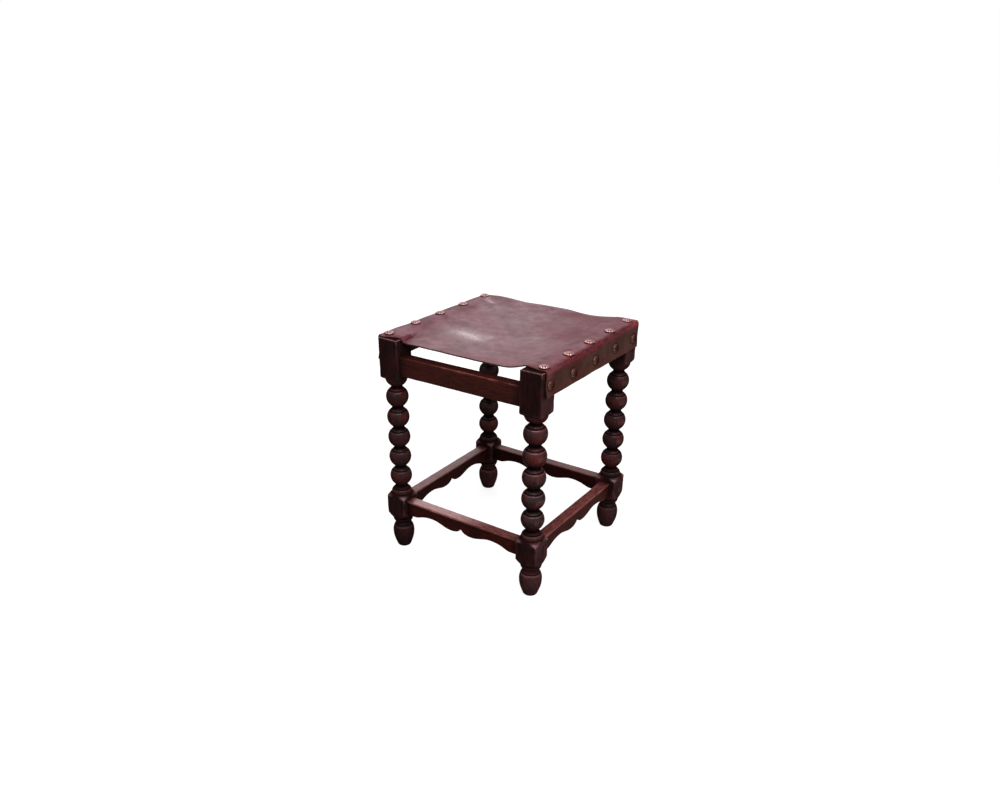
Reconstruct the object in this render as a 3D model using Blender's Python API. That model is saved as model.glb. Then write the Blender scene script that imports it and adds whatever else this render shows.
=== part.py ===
"""Square stool with a sling seat of thick hide.

Four legs are turned from square stock into bobbins, with a square block left at the top and
another above the foot. Two low seat rails join the legs at the front and back, and two high side
rails carry the hide, which laps over their outer faces and is held by rows of domed studs. Four
shaped stretchers join the lower blocks. The origin is on the floor, midway between the feet, with
+X to the right and -Y to the front.
"""

import math

import bmesh
import bpy

# Fits: the space left between touching pieces, and how far a cutter runs past what it cuts
FIT_GAP = 0.0003
OVERRUN = 0.0020

# Plan of the legs and the square stock that they are turned from
LEG_SPACING_X = 0.3100
LEG_SPACING_Y = 0.3130
STOCK_SIDE = 0.0435
STOCK_BEVEL = 0.0008

# Turned leg, from the floor up
FOOT_SOLE_RADIUS = 0.0118
FOOT_WIDEST_HEIGHT = 0.0340
FOOT_RADIUS = 0.0218
FOOT_HEIGHT = 0.0560
FOOT_NECK_RADIUS = 0.0132
LOWER_BEAD_HEIGHT = 0.0120
LOWER_BEAD_RADIUS = 0.0206
LOWER_BLOCK_HEIGHT = 0.0560
LOWER_POMMEL_HEIGHT = 0.0117
UPPER_POMMEL_HEIGHT = 0.0070
COLLAR_HEIGHT = 0.0168
COLLAR_RADIUS = 0.0208
BOBBIN_COUNT = 5
BOBBIN_PITCH = 0.0425
BOBBIN_RADIUS = 0.0218
BOBBIN_NECK_RADIUS = 0.0110
NECK_FLAT_WIDTH = 0.0044
TOP_BEAD_HEIGHT = 0.0177
TOP_BEAD_RADIUS = 0.0211
TOP_SHOULDER_HEIGHT = 0.0018
TOP_BLOCK_HEIGHT = 0.0790

# Ring scribed round each bobbin, the collar and the foot, below the neck above it
SCRIBE_FALL = 0.0074
SCRIBE_WIDTH = 0.0018
SCRIBE_DEPTH = 0.0009

# Seat rails at the front and back
SEAT_RAIL_THICKNESS = 0.0220
SEAT_RAIL_DEPTH = 0.0375
SEAT_RAIL_SETBACK = 0.0060
SEAT_RAIL_FALL = 0.0314

# Side rails under the hide
SIDE_RAIL_THICKNESS = 0.0220
SIDE_RAIL_DEPTH = 0.0410
SIDE_RAIL_SETBACK = 0.0010

# Stretchers, with a cupid's bow along the lower edge
STRETCHER_THICKNESS = 0.0215
STRETCHER_DEPTH = 0.0306
STRETCHER_TOP_HEIGHT = 0.1112
ARCH_RISE = 0.0090
CUSP_RISE = 0.0100
PAD_START_SHARE = 0.90
CREST_SHARE = 0.54
LOBE_SHARE = 0.18

# Edges of the rails and stretchers, and their tenons
BOARD_BEVEL = 0.0008
TENON_THICKNESS = 0.0100
TENON_WALL = 0.0018
SEAT_TENON_SHOULDER = 0.0040
SIDE_TENON_SHOULDER = 0.0110
STRETCHER_TENON_SHOULDER = 0.0050

# Hide: a sling that laps over both side rails
HIDE_THICKNESS = 0.0032
HIDE_DROP = 0.0480
HIDE_BEND_RADIUS = 0.0015
HIDE_FRONT_INSET = 0.0150
HIDE_BACK_INSET = 0.0050
SAG_START_INSET = 0.0022
SAG_FRONT = 0.0085
SAG_CENTRE = 0.0140
SAG_BACK = 0.0020
SAG_SQUARENESS = 4

# Studs: a domed head with a rim, on a nail
STUD_HEAD_RADIUS = 0.0100
STUD_HEAD_HEIGHT = 0.0031
STUD_RIM_WIDTH = 0.0008
STUD_RIM_HEIGHT = 0.0013
STUD_VALLEY_WIDTH = 0.0020
STUD_VALLEY_HEIGHT = 0.0010
STUD_DOME_RADIUS = 0.0046
STUD_DOME_HEIGHT = 0.0026
NAIL_RADIUS = 0.0014
NAIL_LENGTH = 0.0130
NAIL_POINT_LENGTH = 0.0030
STUD_TOP_INSET = 0.0097
STUD_SIDE_FALL = 0.0270
STUDS_PER_ROW = 5

# How finely round work is faceted
LEG_SIDES = 16
STUD_SIDES = 12
HOLE_SIDES = 8
BOBBIN_STEPS = 4
BEAD_STEPS = 2
FOOT_STEPS = 3
POMMEL_STEPS = 3
POMMEL_FULLNESS = 1.20
BOW_STEPS = 5
BEND_STEPS = 2
SAG_STEPS = 12
HIDE_ROWS = 11
SMOOTH_ANGLE = math.radians(35)
MERGE = 0.00001

# Places that follow from the sizes above
HALF_X = LEG_SPACING_X / 2
HALF_Y = LEG_SPACING_Y / 2
HALF_STOCK = STOCK_SIDE / 2
LOWER_BLOCK_FOOT = FOOT_HEIGHT + LOWER_BEAD_HEIGHT
LOWER_BLOCK_TOP = LOWER_BLOCK_FOOT + LOWER_BLOCK_HEIGHT
BOBBIN_FOOT = LOWER_BLOCK_TOP + COLLAR_HEIGHT
BOBBIN_TOP = BOBBIN_FOOT + BOBBIN_COUNT * BOBBIN_PITCH
TOP_BLOCK_FOOT = BOBBIN_TOP + TOP_BEAD_HEIGHT
LEG_HEIGHT = TOP_BLOCK_FOOT + TOP_BLOCK_HEIGHT
SEAT_RAIL_TOP = LEG_HEIGHT - SEAT_RAIL_FALL
RAIL_TENON_LENGTH = HALF_STOCK - NAIL_RADIUS - 3 * FIT_GAP - TENON_WALL
STRETCHER_TENON_LENGTH = HALF_STOCK - TENON_THICKNESS / 2 - 3 * FIT_GAP - TENON_WALL
SPAN_X = LEG_SPACING_X - STOCK_SIDE - 2 * FIT_GAP
SPAN_Y = LEG_SPACING_Y - STOCK_SIDE - 2 * FIT_GAP

# Colours are linear, with roughness and metallic values
FINISHES = {
    "turned_oak": ((0.022, 0.009, 0.007), 0.38, 0.0),
    "seat_rail_oak": ((0.030, 0.011, 0.008), 0.40, 0.0),
    "side_rail_oak": ((0.024, 0.010, 0.007), 0.45, 0.0),
    "stretcher_oak": ((0.050, 0.015, 0.011), 0.36, 0.0),
    "oxblood_hide": ((0.120, 0.042, 0.048), 0.42, 0.0),
    "pressed_copper": ((0.560, 0.290, 0.200), 0.32, 1.0),
}


def clear_scene():
    """Remove every object that the scene starts with."""
    for item in list(bpy.data.objects):
        bpy.data.objects.remove(item, do_unlink=True)


def make_finish(name):
    """Make the material of one kind of piece."""
    colour, roughness, metallic = FINISHES[name]
    material = bpy.data.materials.new(name)
    material.use_nodes = True
    shader = material.node_tree.nodes["Principled BSDF"]
    shader.inputs["Base Color"].default_value = (*colour, 1)
    shader.inputs["Roughness"].default_value = roughness
    shader.inputs["Metallic"].default_value = metallic
    material.diffuse_color = (*colour, 1)
    return material


def add_object(name, mesh, material=None):
    """Put a mesh into the scene under a name."""
    item = bpy.data.objects.new(name, mesh)
    bpy.context.scene.collection.objects.link(item)
    if material is not None:
        mesh.materials.append(material)
    return item


def add_boxes(bm, boxes):
    """Add boxes, each given by its lowest and its highest corner."""
    for low, high in boxes:
        corners = [bm.verts.new((x, y, z)) for z in (low[2], high[2])
                   for y in (low[1], high[1]) for x in (low[0], high[0])]
        for loop in ((0, 2, 3, 1), (4, 5, 7, 6), (0, 1, 5, 4), (2, 6, 7, 3), (0, 4, 6, 2), (1, 3, 7, 5)):
            bm.faces.new([corners[i] for i in loop])


def box_mesh(name, boxes):
    """Make a mesh of one or more separate boxes."""
    bm = bmesh.new()
    add_boxes(bm, boxes)
    mesh = bpy.data.meshes.new(name)
    bm.to_mesh(mesh)
    bm.free()
    return mesh


def profile_mesh(name, profile):
    """Make an open outline in the XZ plane from (radius, height) pairs, for turning about Z."""
    mesh = bpy.data.meshes.new(name)
    edges = [(i, i + 1) for i in range(len(profile) - 1)]
    mesh.from_pydata([(radius, 0, height) for radius, height in profile], edges, [])
    return mesh


def turn(item, sides):
    """Turn an outline about Z into a closed round solid."""
    screw = item.modifiers.new("turning", "SCREW")
    screw.steps = sides
    screw.render_steps = sides
    screw.use_merge_vertices = True
    screw.merge_threshold = MERGE
    screw.use_smooth_shade = True


def add_cutter(name, mesh, location=(0, 0, 0)):
    """Add a solid that only shapes others and is left out of the stool."""
    item = add_object(name, mesh)
    item.location = location
    item.hide_render = True
    item.display_type = "WIRE"
    return item


def combine(item, operation, other):
    """Cut, keep or join with another solid."""
    boolean = item.modifiers.new(operation.lower(), "BOOLEAN")
    boolean.operation = operation
    boolean.object = other
    boolean.solver = "EXACT"


def bevel(item, width):
    """Break the sharp edges, as a plane and years of use would."""
    modifier = item.modifiers.new("broken_edges", "BEVEL")
    modifier.width = width
    modifier.segments = 1
    modifier.limit_method = "ANGLE"


def arc_angles(start, end, steps):
    """Angles from start to end in equal steps, both ends included."""
    return [start + (end - start) * i / steps for i in range(steps + 1)]


def rounded(radius, half_height, centre, start, end, steps):
    """Points of a round stretch, from one angle above its widest place to another."""
    return [(radius * math.cos(angle), centre + half_height * math.sin(angle))
            for angle in arc_angles(start, end, steps)]


def scribed(radius, half_height, centre, height):
    """Points of a ring scribed at a height on a round stretch, from its upper lip down."""
    lips = (SCRIBE_WIDTH / 2, 0, -SCRIBE_WIDTH / 2)
    depths = (0, SCRIBE_DEPTH, 0)
    points = []
    for lip, depth in zip(lips, depths):
        level = height + lip
        on_round = radius * math.sqrt(1 - ((level - centre) / half_height) ** 2)
        points.append((on_round - depth, level))
    return points


def reach(radius, neck_radius, rise):
    """Half height of the ellipse that falls from a radius to a neck's over a given rise."""
    return rise / math.sqrt(1 - (neck_radius / radius) ** 2)


def scribed_round(radius, half_height, centre, start, scribe_height, end, steps):
    """A round stretch from its top, past a scribed ring, down to its end."""
    ring = scribed(radius, half_height, centre, scribe_height)
    below = math.asin((ring[-1][1] - centre) / half_height)
    top = rounded(radius, half_height, centre, start, start, 1)[:1]
    return top + ring + rounded(radius, half_height, centre, below, end, steps)[1:]


def pommel_points():
    """Convex corner turned off the foot of the lower block, from the top of the curve down."""
    corner = block_turning_radius()
    points = []
    for step in range(POMMEL_STEPS + 1):
        fall_share = step / POMMEL_STEPS
        width_share = (1 - fall_share ** POMMEL_FULLNESS) ** (1 / POMMEL_FULLNESS)
        radius = LOWER_BEAD_RADIUS + (corner - LOWER_BEAD_RADIUS) * width_share
        points.append((radius, LOWER_BLOCK_FOOT + LOWER_POMMEL_HEIGHT * (1 - fall_share)))
    return points


def block_turning_radius():
    """Radius that clears the corners of the square stock, so that a block stays square."""
    return HALF_STOCK * math.sqrt(2) / math.cos(math.pi / LEG_SIDES)


def leg_profile():
    """Outline of a leg as (radius, height), from the top down, on the axis at both ends."""
    corner = block_turning_radius()
    points = [(0, LEG_HEIGHT + OVERRUN), (corner, LEG_HEIGHT + OVERRUN)]

    # Shoulder under the top block and the half bead below it
    points.append((corner, TOP_BLOCK_FOOT + TOP_SHOULDER_HEIGHT))
    bead_reach = reach(TOP_BEAD_RADIUS, BOBBIN_NECK_RADIUS, TOP_BEAD_HEIGHT)
    bead_end = -math.acos(BOBBIN_NECK_RADIUS / TOP_BEAD_RADIUS)
    points += rounded(TOP_BEAD_RADIUS, bead_reach, TOP_BLOCK_FOOT, 0, bead_end, BEAD_STEPS)

    # Bobbins, each with its scribed ring, from the top one down
    half_bobbin = (BOBBIN_PITCH - NECK_FLAT_WIDTH) / 2
    bobbin_reach = reach(BOBBIN_RADIUS, BOBBIN_NECK_RADIUS, half_bobbin)
    bobbin_end = math.acos(BOBBIN_NECK_RADIUS / BOBBIN_RADIUS)
    for i in range(BOBBIN_COUNT):
        neck = BOBBIN_TOP - i * BOBBIN_PITCH
        points += scribed_round(BOBBIN_RADIUS, bobbin_reach, neck - BOBBIN_PITCH / 2, bobbin_end,
                                neck - SCRIBE_FALL, -bobbin_end, BOBBIN_STEPS)

    # Collar, and the cone that leaves a pointed arch on each face of the lower block
    collar_reach = reach(COLLAR_RADIUS, BOBBIN_NECK_RADIUS, COLLAR_HEIGHT)
    collar_end = math.acos(BOBBIN_NECK_RADIUS / COLLAR_RADIUS)
    points += scribed_round(COLLAR_RADIUS, collar_reach, LOWER_BLOCK_TOP, collar_end,
                            BOBBIN_FOOT - SCRIBE_FALL, 0, BEAD_STEPS)
    points.append((corner, LOWER_BLOCK_TOP - UPPER_POMMEL_HEIGHT))

    # Foot of the lower block and the half bead below it
    points += pommel_points()[:-1]
    bead_reach = reach(LOWER_BEAD_RADIUS, FOOT_NECK_RADIUS, LOWER_BEAD_HEIGHT)
    bead_end = -math.acos(FOOT_NECK_RADIUS / LOWER_BEAD_RADIUS)
    points += rounded(LOWER_BEAD_RADIUS, bead_reach, LOWER_BLOCK_FOOT, 0, bead_end, BEAD_STEPS)

    # Egg shaped foot, fullest a little above its middle, down to a flat sole
    neck_rise = FOOT_HEIGHT - FOOT_WIDEST_HEIGHT
    shoulder_reach = reach(FOOT_RADIUS, FOOT_NECK_RADIUS, neck_rise)
    ring = scribed(FOOT_RADIUS, shoulder_reach, FOOT_WIDEST_HEIGHT, FOOT_HEIGHT - SCRIBE_FALL)
    ring_angle = math.asin((ring[-1][1] - FOOT_WIDEST_HEIGHT) / shoulder_reach)
    points += ring
    points += rounded(FOOT_RADIUS, shoulder_reach, FOOT_WIDEST_HEIGHT, ring_angle, 0, 1)[1:]
    sole_reach = reach(FOOT_RADIUS, FOOT_SOLE_RADIUS, FOOT_WIDEST_HEIGHT)
    sole_angle = -math.acos(FOOT_SOLE_RADIUS / FOOT_RADIUS)
    points += rounded(FOOT_RADIUS, sole_reach, FOOT_WIDEST_HEIGHT, 0, sole_angle, FOOT_STEPS)[1:]
    points.append((0, 0))
    return points


def seat_tenon_heights():
    """Lowest and highest level of a seat rail's tenon."""
    foot = SEAT_RAIL_TOP - SEAT_RAIL_DEPTH
    return foot + SEAT_TENON_SHOULDER, SEAT_RAIL_TOP - SEAT_TENON_SHOULDER


def side_tenon_heights():
    """Lowest and highest level of a side rail's tenon, clear above the seat rail's."""
    foot = LEG_HEIGHT - SIDE_RAIL_DEPTH
    return foot + SIDE_TENON_SHOULDER, LEG_HEIGHT - SIDE_TENON_SHOULDER / 2


def stretcher_tenon_heights():
    """Lowest and highest level of a stretcher's tenon."""
    foot = STRETCHER_TOP_HEIGHT - STRETCHER_DEPTH
    return foot + STRETCHER_TENON_SHOULDER, STRETCHER_TOP_HEIGHT - STRETCHER_TENON_SHOULDER


def seat_rail_centre():
    """Distance of a seat rail's centre plane from the middle of the stool."""
    return HALF_Y + HALF_STOCK - SEAT_RAIL_SETBACK - SEAT_RAIL_THICKNESS / 2


def side_rail_centre():
    """Distance of a side rail's centre plane from the middle of the stool."""
    return HALF_X + HALF_STOCK - SIDE_RAIL_SETBACK - SIDE_RAIL_THICKNESS / 2


def mortise(side, along, centre, tenon_length, heights):
    """Box that a tenon fits, in one leg's corner of the plan, for a rail along X or Y."""
    half_width = TENON_THICKNESS / 2 + FIT_GAP
    face = (HALF_X if along == "x" else HALF_Y) - HALF_STOCK
    near = face - OVERRUN
    far = face + tenon_length + 2 * FIT_GAP
    low_z = heights[0] - FIT_GAP
    high_z = heights[1] + FIT_GAP
    if along == "x":
        spans = ((near, far), (centre - half_width, centre + half_width))
    else:
        spans = ((centre - half_width, centre + half_width), (near, far))
    xs = sorted(side[0] * x for x in spans[0])
    ys = sorted(side[1] * y for y in spans[1])
    return (xs[0], ys[0], low_z), (xs[1], ys[1], high_z)


def add_holes(bm, holes):
    """Add round pegs for nail holes, each given by a foot, a mouth and the axis that it runs on."""
    radius = NAIL_RADIUS + FIT_GAP
    for foot, mouth in holes:
        axis = next(i for i in range(3) if foot[i] != mouth[i])
        across, up = [i for i in range(3) if i != axis]
        rings = []
        for end in (foot, mouth):
            ring = []
            for step in range(HOLE_SIDES):
                angle = 2 * math.pi * (step + 1 / 2) / HOLE_SIDES
                place = list(end)
                place[across] += radius * math.cos(angle)
                place[up] += radius * math.sin(angle)
                ring.append(bm.verts.new(place))
            rings.append(ring)
        for step in range(HOLE_SIDES):
            after = (step + 1) % HOLE_SIDES
            bm.faces.new((rings[0][step], rings[0][after], rings[1][after], rings[1][step]))
        bm.faces.new(rings[0][::-1])
        bm.faces.new(rings[1])


def cutter_mesh(name, boxes, holes):
    """Make a cutter of boxes and nail holes, with every face pointing out."""
    bm = bmesh.new()
    add_boxes(bm, boxes)
    add_holes(bm, holes)
    bmesh.ops.recalc_face_normals(bm, faces=bm.faces)
    mesh = bpy.data.meshes.new(name)
    bm.to_mesh(mesh)
    bm.free()
    return mesh


def stud_rows():
    """Places of the studs along Y, from front to back."""
    step = LEG_SPACING_Y / (STUDS_PER_ROW - 1)
    return [-HALF_Y + step * i for i in range(STUDS_PER_ROW)]


def nail_hole(side_x, place_y, face):
    """Foot and mouth of the hole under one stud, on the top or on the outer side."""
    depth = NAIL_LENGTH - HIDE_THICKNESS
    outer = HALF_X + HALF_STOCK
    if face == "top":
        x = side_x * (outer - STUD_TOP_INSET)
        return (x, place_y, LEG_HEIGHT - depth), (x, place_y, LEG_HEIGHT + HIDE_THICKNESS + OVERRUN)
    z = LEG_HEIGHT - STUD_SIDE_FALL
    return (side_x * (outer - depth), place_y, z), (side_x * (outer + HIDE_THICKNESS + OVERRUN), place_y, z)


def make_leg(name, side, material):
    """Turn one leg from its stock, with its four mortises and two nail holes."""
    leg = add_object(name, profile_mesh(name, leg_profile()), material)
    leg.location = (side[0] * HALF_X, side[1] * HALF_Y, 0)
    turn(leg, LEG_SIDES)
    stock = add_cutter(name + "_stock", box_mesh(name + "_stock", [
        ((-HALF_STOCK, -HALF_STOCK, -OVERRUN), (HALF_STOCK, HALF_STOCK, LEG_HEIGHT))]), leg.location)
    bevel(stock, STOCK_BEVEL)
    combine(leg, "INTERSECT", stock)
    boxes = [
        mortise(side, "x", seat_rail_centre(), RAIL_TENON_LENGTH, seat_tenon_heights()),
        mortise(side, "y", side_rail_centre(), RAIL_TENON_LENGTH, side_tenon_heights()),
        mortise(side, "x", HALF_Y, STRETCHER_TENON_LENGTH, stretcher_tenon_heights()),
        mortise(side, "y", HALF_X, STRETCHER_TENON_LENGTH, stretcher_tenon_heights()),
    ]
    holes = [nail_hole(side[0], side[1] * HALF_Y, face) for face in ("top", "side")]
    combine(leg, "DIFFERENCE", add_cutter(name + "_cuts", cutter_mesh(name + "_cuts", boxes, holes)))


def add_tenons(board, length, tenon_length, heights):
    """Join a tongue through a board, which shows as a tenon past each shoulder."""
    half = length / 2 + tenon_length
    tongue = add_cutter(board.name + "_tenons", box_mesh(board.name + "_tenons", [
        ((-half, -TENON_THICKNESS / 2, heights[0]), (half, TENON_THICKNESS / 2, heights[1]))]))
    tongue.location = board.location
    tongue.rotation_euler = board.rotation_euler
    combine(board, "UNION", tongue)


def place_board(board, quarter_turns, distance):
    """Set a board that lies along X across one side of the stool, its outer face outwards."""
    angle = quarter_turns * math.pi / 2
    board.location = (distance * math.sin(angle), -distance * math.cos(angle), 0)
    board.rotation_euler = (0, 0, angle)


def make_rail(name, quarter_turns, distance, span, section, tenon_heights, material, holes=()):
    """Make a plain rail with two tenons, and the nail holes of the studs above it."""
    thickness, foot, top = section
    rail = add_object(name, box_mesh(name, [
        ((-span / 2, -thickness / 2, foot), (span / 2, thickness / 2, top))]), material)
    place_board(rail, quarter_turns, distance)
    bevel(rail, BOARD_BEVEL)
    add_tenons(rail, span, RAIL_TENON_LENGTH, tenon_heights)
    if holes:
        combine(rail, "DIFFERENCE", add_cutter(name + "_cuts", cutter_mesh(name + "_cuts", [], holes)))


def ease(share):
    """Smooth rise from 0 to 1."""
    return (1 - math.cos(math.pi * share)) / 2


def bow_outline(span):
    """Lower edge of a stretcher as (place, rise), from its left end to its right end."""
    half = span / 2
    right = []
    for step in range(BOW_STEPS + 1):
        share = step / BOW_STEPS
        right.append((half * LOBE_SHARE * share, CUSP_RISE * (1 - share) ** 3))
    for step in range(1, BOW_STEPS + 1):
        share = step / BOW_STEPS
        right.append((half * (LOBE_SHARE + (CREST_SHARE - LOBE_SHARE) * share), ARCH_RISE * ease(share)))
    for step in range(1, BOW_STEPS + 1):
        share = step / BOW_STEPS
        right.append((half * (CREST_SHARE + (PAD_START_SHARE - CREST_SHARE) * share),
                      ARCH_RISE * ease(1 - share)))
    right.append((half, 0))
    left = [(-place, rise) for place, rise in reversed(right[1:])]
    return left + right


def make_stretcher(name, quarter_turns, distance, span, material):
    """Cut one stretcher to its bow, with a tenon at each end."""
    foot = STRETCHER_TOP_HEIGHT - STRETCHER_DEPTH
    outline = [(place, foot + rise) for place, rise in bow_outline(span)]
    outline += [(span / 2, STRETCHER_TOP_HEIGHT), (-span / 2, STRETCHER_TOP_HEIGHT)]
    bm = bmesh.new()
    face = bm.faces.new([bm.verts.new((x, -STRETCHER_THICKNESS / 2, z)) for x, z in outline])
    back = bmesh.ops.extrude_face_region(bm, geom=[face])["geom"]
    bmesh.ops.translate(bm, vec=(0, STRETCHER_THICKNESS, 0),
                        verts=[part for part in back if isinstance(part, bmesh.types.BMVert)])
    bmesh.ops.recalc_face_normals(bm, faces=bm.faces)
    mesh = bpy.data.meshes.new(name)
    bm.to_mesh(mesh)
    bm.free()
    stretcher = add_object(name, mesh, material)
    place_board(stretcher, quarter_turns, distance)
    bevel(stretcher, BOARD_BEVEL)
    add_tenons(stretcher, span, STRETCHER_TENON_LENGTH, stretcher_tenon_heights())


def hide_section(sag):
    """Inner face of the hide across the stool as (x, z), from the left edge to the right edge."""
    inner = HALF_X + HALF_STOCK + FIT_GAP
    top = LEG_HEIGHT + FIT_GAP
    hem = top + HIDE_THICKNESS - HIDE_DROP
    sag_start = HALF_X - HALF_STOCK - SAG_START_INSET
    right = [(sag_start, top)]
    for angle in arc_angles(math.pi / 2, 0, BEND_STEPS):
        right.append((inner - HIDE_BEND_RADIUS * (1 - math.cos(angle)),
                      top - HIDE_BEND_RADIUS * (1 - math.sin(angle))))
    right.append((inner, hem))
    middle = []
    for step in range(1, SAG_STEPS):
        share = 2 * step / SAG_STEPS - 1
        middle.append((sag_start * share, top - sag * (1 - abs(share) ** SAG_SQUARENESS)))
    left = [(-x, z) for x, z in reversed(right)]
    return left + middle + right


def sag_at(share):
    """Sag at a share of the way from the front edge to the back edge, through its three depths."""
    middle_lift = SAG_CENTRE - (SAG_FRONT + SAG_BACK) / 2
    return SAG_FRONT * (1 - share) + SAG_BACK * share + 4 * middle_lift * share * (1 - share)


def make_hide(material):
    """Make the sling as one bent sheet, pierced for every nail."""
    front = -(HALF_Y + HALF_STOCK - HIDE_FRONT_INSET)
    back = HALF_Y + HALF_STOCK - HIDE_BACK_INSET
    bm = bmesh.new()
    rows = []
    for row in range(HIDE_ROWS + 1):
        share = row / HIDE_ROWS
        y = front + (back - front) * share
        rows.append([bm.verts.new((x, y, z)) for x, z in hide_section(sag_at(share))])
    for near, far in zip(rows, rows[1:]):
        for i in range(len(near) - 1):
            bm.faces.new((near[i], near[i + 1], far[i + 1], far[i])).smooth = True
    mesh = bpy.data.meshes.new("seat_hide")
    bm.to_mesh(mesh)
    bm.free()
    hide = add_object("seat_hide", mesh, material)
    shell = hide.modifiers.new("thickness", "SOLIDIFY")
    shell.thickness = HIDE_THICKNESS
    shell.offset = 1
    shell.use_even_offset = True
    holes = [nail_hole(side_x, y, face) for side_x in (-1, 1) for y in stud_rows()
             for face in ("top", "side")]
    combine(hide, "DIFFERENCE", add_cutter("seat_hide_cuts", cutter_mesh("seat_hide_cuts", [], holes)))


def stud_profile():
    """Outline of a stud as (radius, height) above its seat, from the crown down to the point."""
    rim = STUD_HEAD_RADIUS - STUD_RIM_WIDTH
    return [
        (0, STUD_HEAD_HEIGHT),
        (STUD_DOME_RADIUS, STUD_DOME_HEIGHT),
        (rim - STUD_VALLEY_WIDTH, STUD_VALLEY_HEIGHT),
        (rim, STUD_RIM_HEIGHT),
        (STUD_HEAD_RADIUS, 0),
        (NAIL_RADIUS, 0),
        (NAIL_RADIUS, NAIL_POINT_LENGTH - NAIL_LENGTH),
        (0, -NAIL_LENGTH),
    ]


def make_studs(material):
    """Set the studs in rows along the top and the outer side of both side rails."""
    mesh = profile_mesh("stud", stud_profile())
    mesh.materials.append(material)
    seat = HIDE_THICKNESS + 2 * FIT_GAP
    for side_name, side_x in (("left", -1), ("right", 1)):
        for number, y in enumerate(stud_rows(), 1):
            top = add_object(f"stud_top_{side_name}_{number}", mesh)
            top.location = (side_x * (HALF_X + HALF_STOCK - STUD_TOP_INSET), y, LEG_HEIGHT + seat)
            turn(top, STUD_SIDES)
            side = add_object(f"stud_side_{side_name}_{number}", mesh)
            side.location = (side_x * (HALF_X + HALF_STOCK + seat), y, LEG_HEIGHT - STUD_SIDE_FALL)
            side.rotation_euler = (0, side_x * math.pi / 2, 0)
            turn(side, STUD_SIDES)


def shade_round(names):
    """Shade the round pieces smooth, with their crisp edges kept."""
    for item in bpy.context.scene.objects:
        if item.name.startswith(names):
            item.data.shade_smooth()
            item.data.set_sharp_from_angle(angle=SMOOTH_ANGLE)


def main():
    clear_scene()
    finishes = {name: make_finish(name) for name in FINISHES}
    corners = {
        "leg_front_left": (-1, -1),
        "leg_front_right": (1, -1),
        "leg_back_right": (1, 1),
        "leg_back_left": (-1, 1),
    }
    for name, side in corners.items():
        make_leg(name, side, finishes["turned_oak"])

    seat_section = (SEAT_RAIL_THICKNESS, SEAT_RAIL_TOP - SEAT_RAIL_DEPTH, SEAT_RAIL_TOP)
    side_section = (SIDE_RAIL_THICKNESS, LEG_HEIGHT - SIDE_RAIL_DEPTH, LEG_HEIGHT)
    for name, turns in (("seat_rail_front", 0), ("seat_rail_back", 2)):
        make_rail(name, turns, seat_rail_centre(), SPAN_X, seat_section, seat_tenon_heights(),
                  finishes["seat_rail_oak"])
    for name, turns, side_x in (("side_rail_right", 1, 1), ("side_rail_left", 3, -1)):
        holes = [nail_hole(side_x, y, face) for y in stud_rows()[1:-1] for face in ("top", "side")]
        make_rail(name, turns, side_rail_centre(), SPAN_Y, side_section, side_tenon_heights(),
                  finishes["side_rail_oak"], holes)

    make_stretcher("stretcher_front", 0, HALF_Y, SPAN_X, finishes["stretcher_oak"])
    make_stretcher("stretcher_right", 1, HALF_X, SPAN_Y, finishes["stretcher_oak"])
    make_stretcher("stretcher_back", 2, HALF_Y, SPAN_X, finishes["stretcher_oak"])
    make_stretcher("stretcher_left", 3, HALF_X, SPAN_Y, finishes["stretcher_oak"])

    make_hide(finishes["oxblood_hide"])
    make_studs(finishes["pressed_copper"])
    shade_round(("leg_", "stud_", "seat_hide"))


main()
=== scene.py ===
import math
import random

import bpy
from mathutils import Matrix, Vector, noise


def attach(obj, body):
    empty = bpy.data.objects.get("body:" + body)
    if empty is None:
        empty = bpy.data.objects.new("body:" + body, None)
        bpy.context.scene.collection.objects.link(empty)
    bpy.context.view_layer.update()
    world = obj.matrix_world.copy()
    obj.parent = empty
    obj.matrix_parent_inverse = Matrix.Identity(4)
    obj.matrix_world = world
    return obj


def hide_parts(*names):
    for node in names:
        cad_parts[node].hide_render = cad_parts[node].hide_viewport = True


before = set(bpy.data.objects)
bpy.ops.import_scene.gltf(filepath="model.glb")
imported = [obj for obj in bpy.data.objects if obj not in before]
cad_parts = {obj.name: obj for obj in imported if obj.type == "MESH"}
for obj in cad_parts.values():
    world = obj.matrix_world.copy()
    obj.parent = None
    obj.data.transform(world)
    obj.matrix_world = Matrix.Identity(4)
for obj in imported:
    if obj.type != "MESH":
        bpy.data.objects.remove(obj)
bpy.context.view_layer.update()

# Lengths are in metres. Levels and radii of the turning and the tables of the hide's fall are in millimetres
MM = 0.001

# Legs: plan of their axes, and the square stock
LEG_X = 0.1550
LEG_Y = 0.1565
LEG_HEIGHT = 0.4500
HALF_STOCK = 0.02175
ARRIS_RADIUS = 0.0008
# Extra height of the front left block at its outer side, which lifts the hide there
PROUD_CORNER = 0.0012
# Node: side, how much its swellings have been rubbed and how pale their painted highlights are, extra height
# of its top at the left, how much lower its top block ends, how much darker its foot is with dirt and painted
# shade, and how much darker the front of its top block is
LEGS = {
    "leg_front_left": ((-1, -1), 0.60, PROUD_CORNER, 0.0, 0.55, 0.0),
    "leg_front_right": ((1, -1), 1.0, 0.0, 0.0018, 0.0, 0.35),
    "leg_back_right": ((1, 1), 0.50, 0.0, 0.0, 0.20, 0.0),
    "leg_back_left": ((-1, 1), 0.60, 0.0, 0.0, 0.0, 0.0),
}

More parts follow.
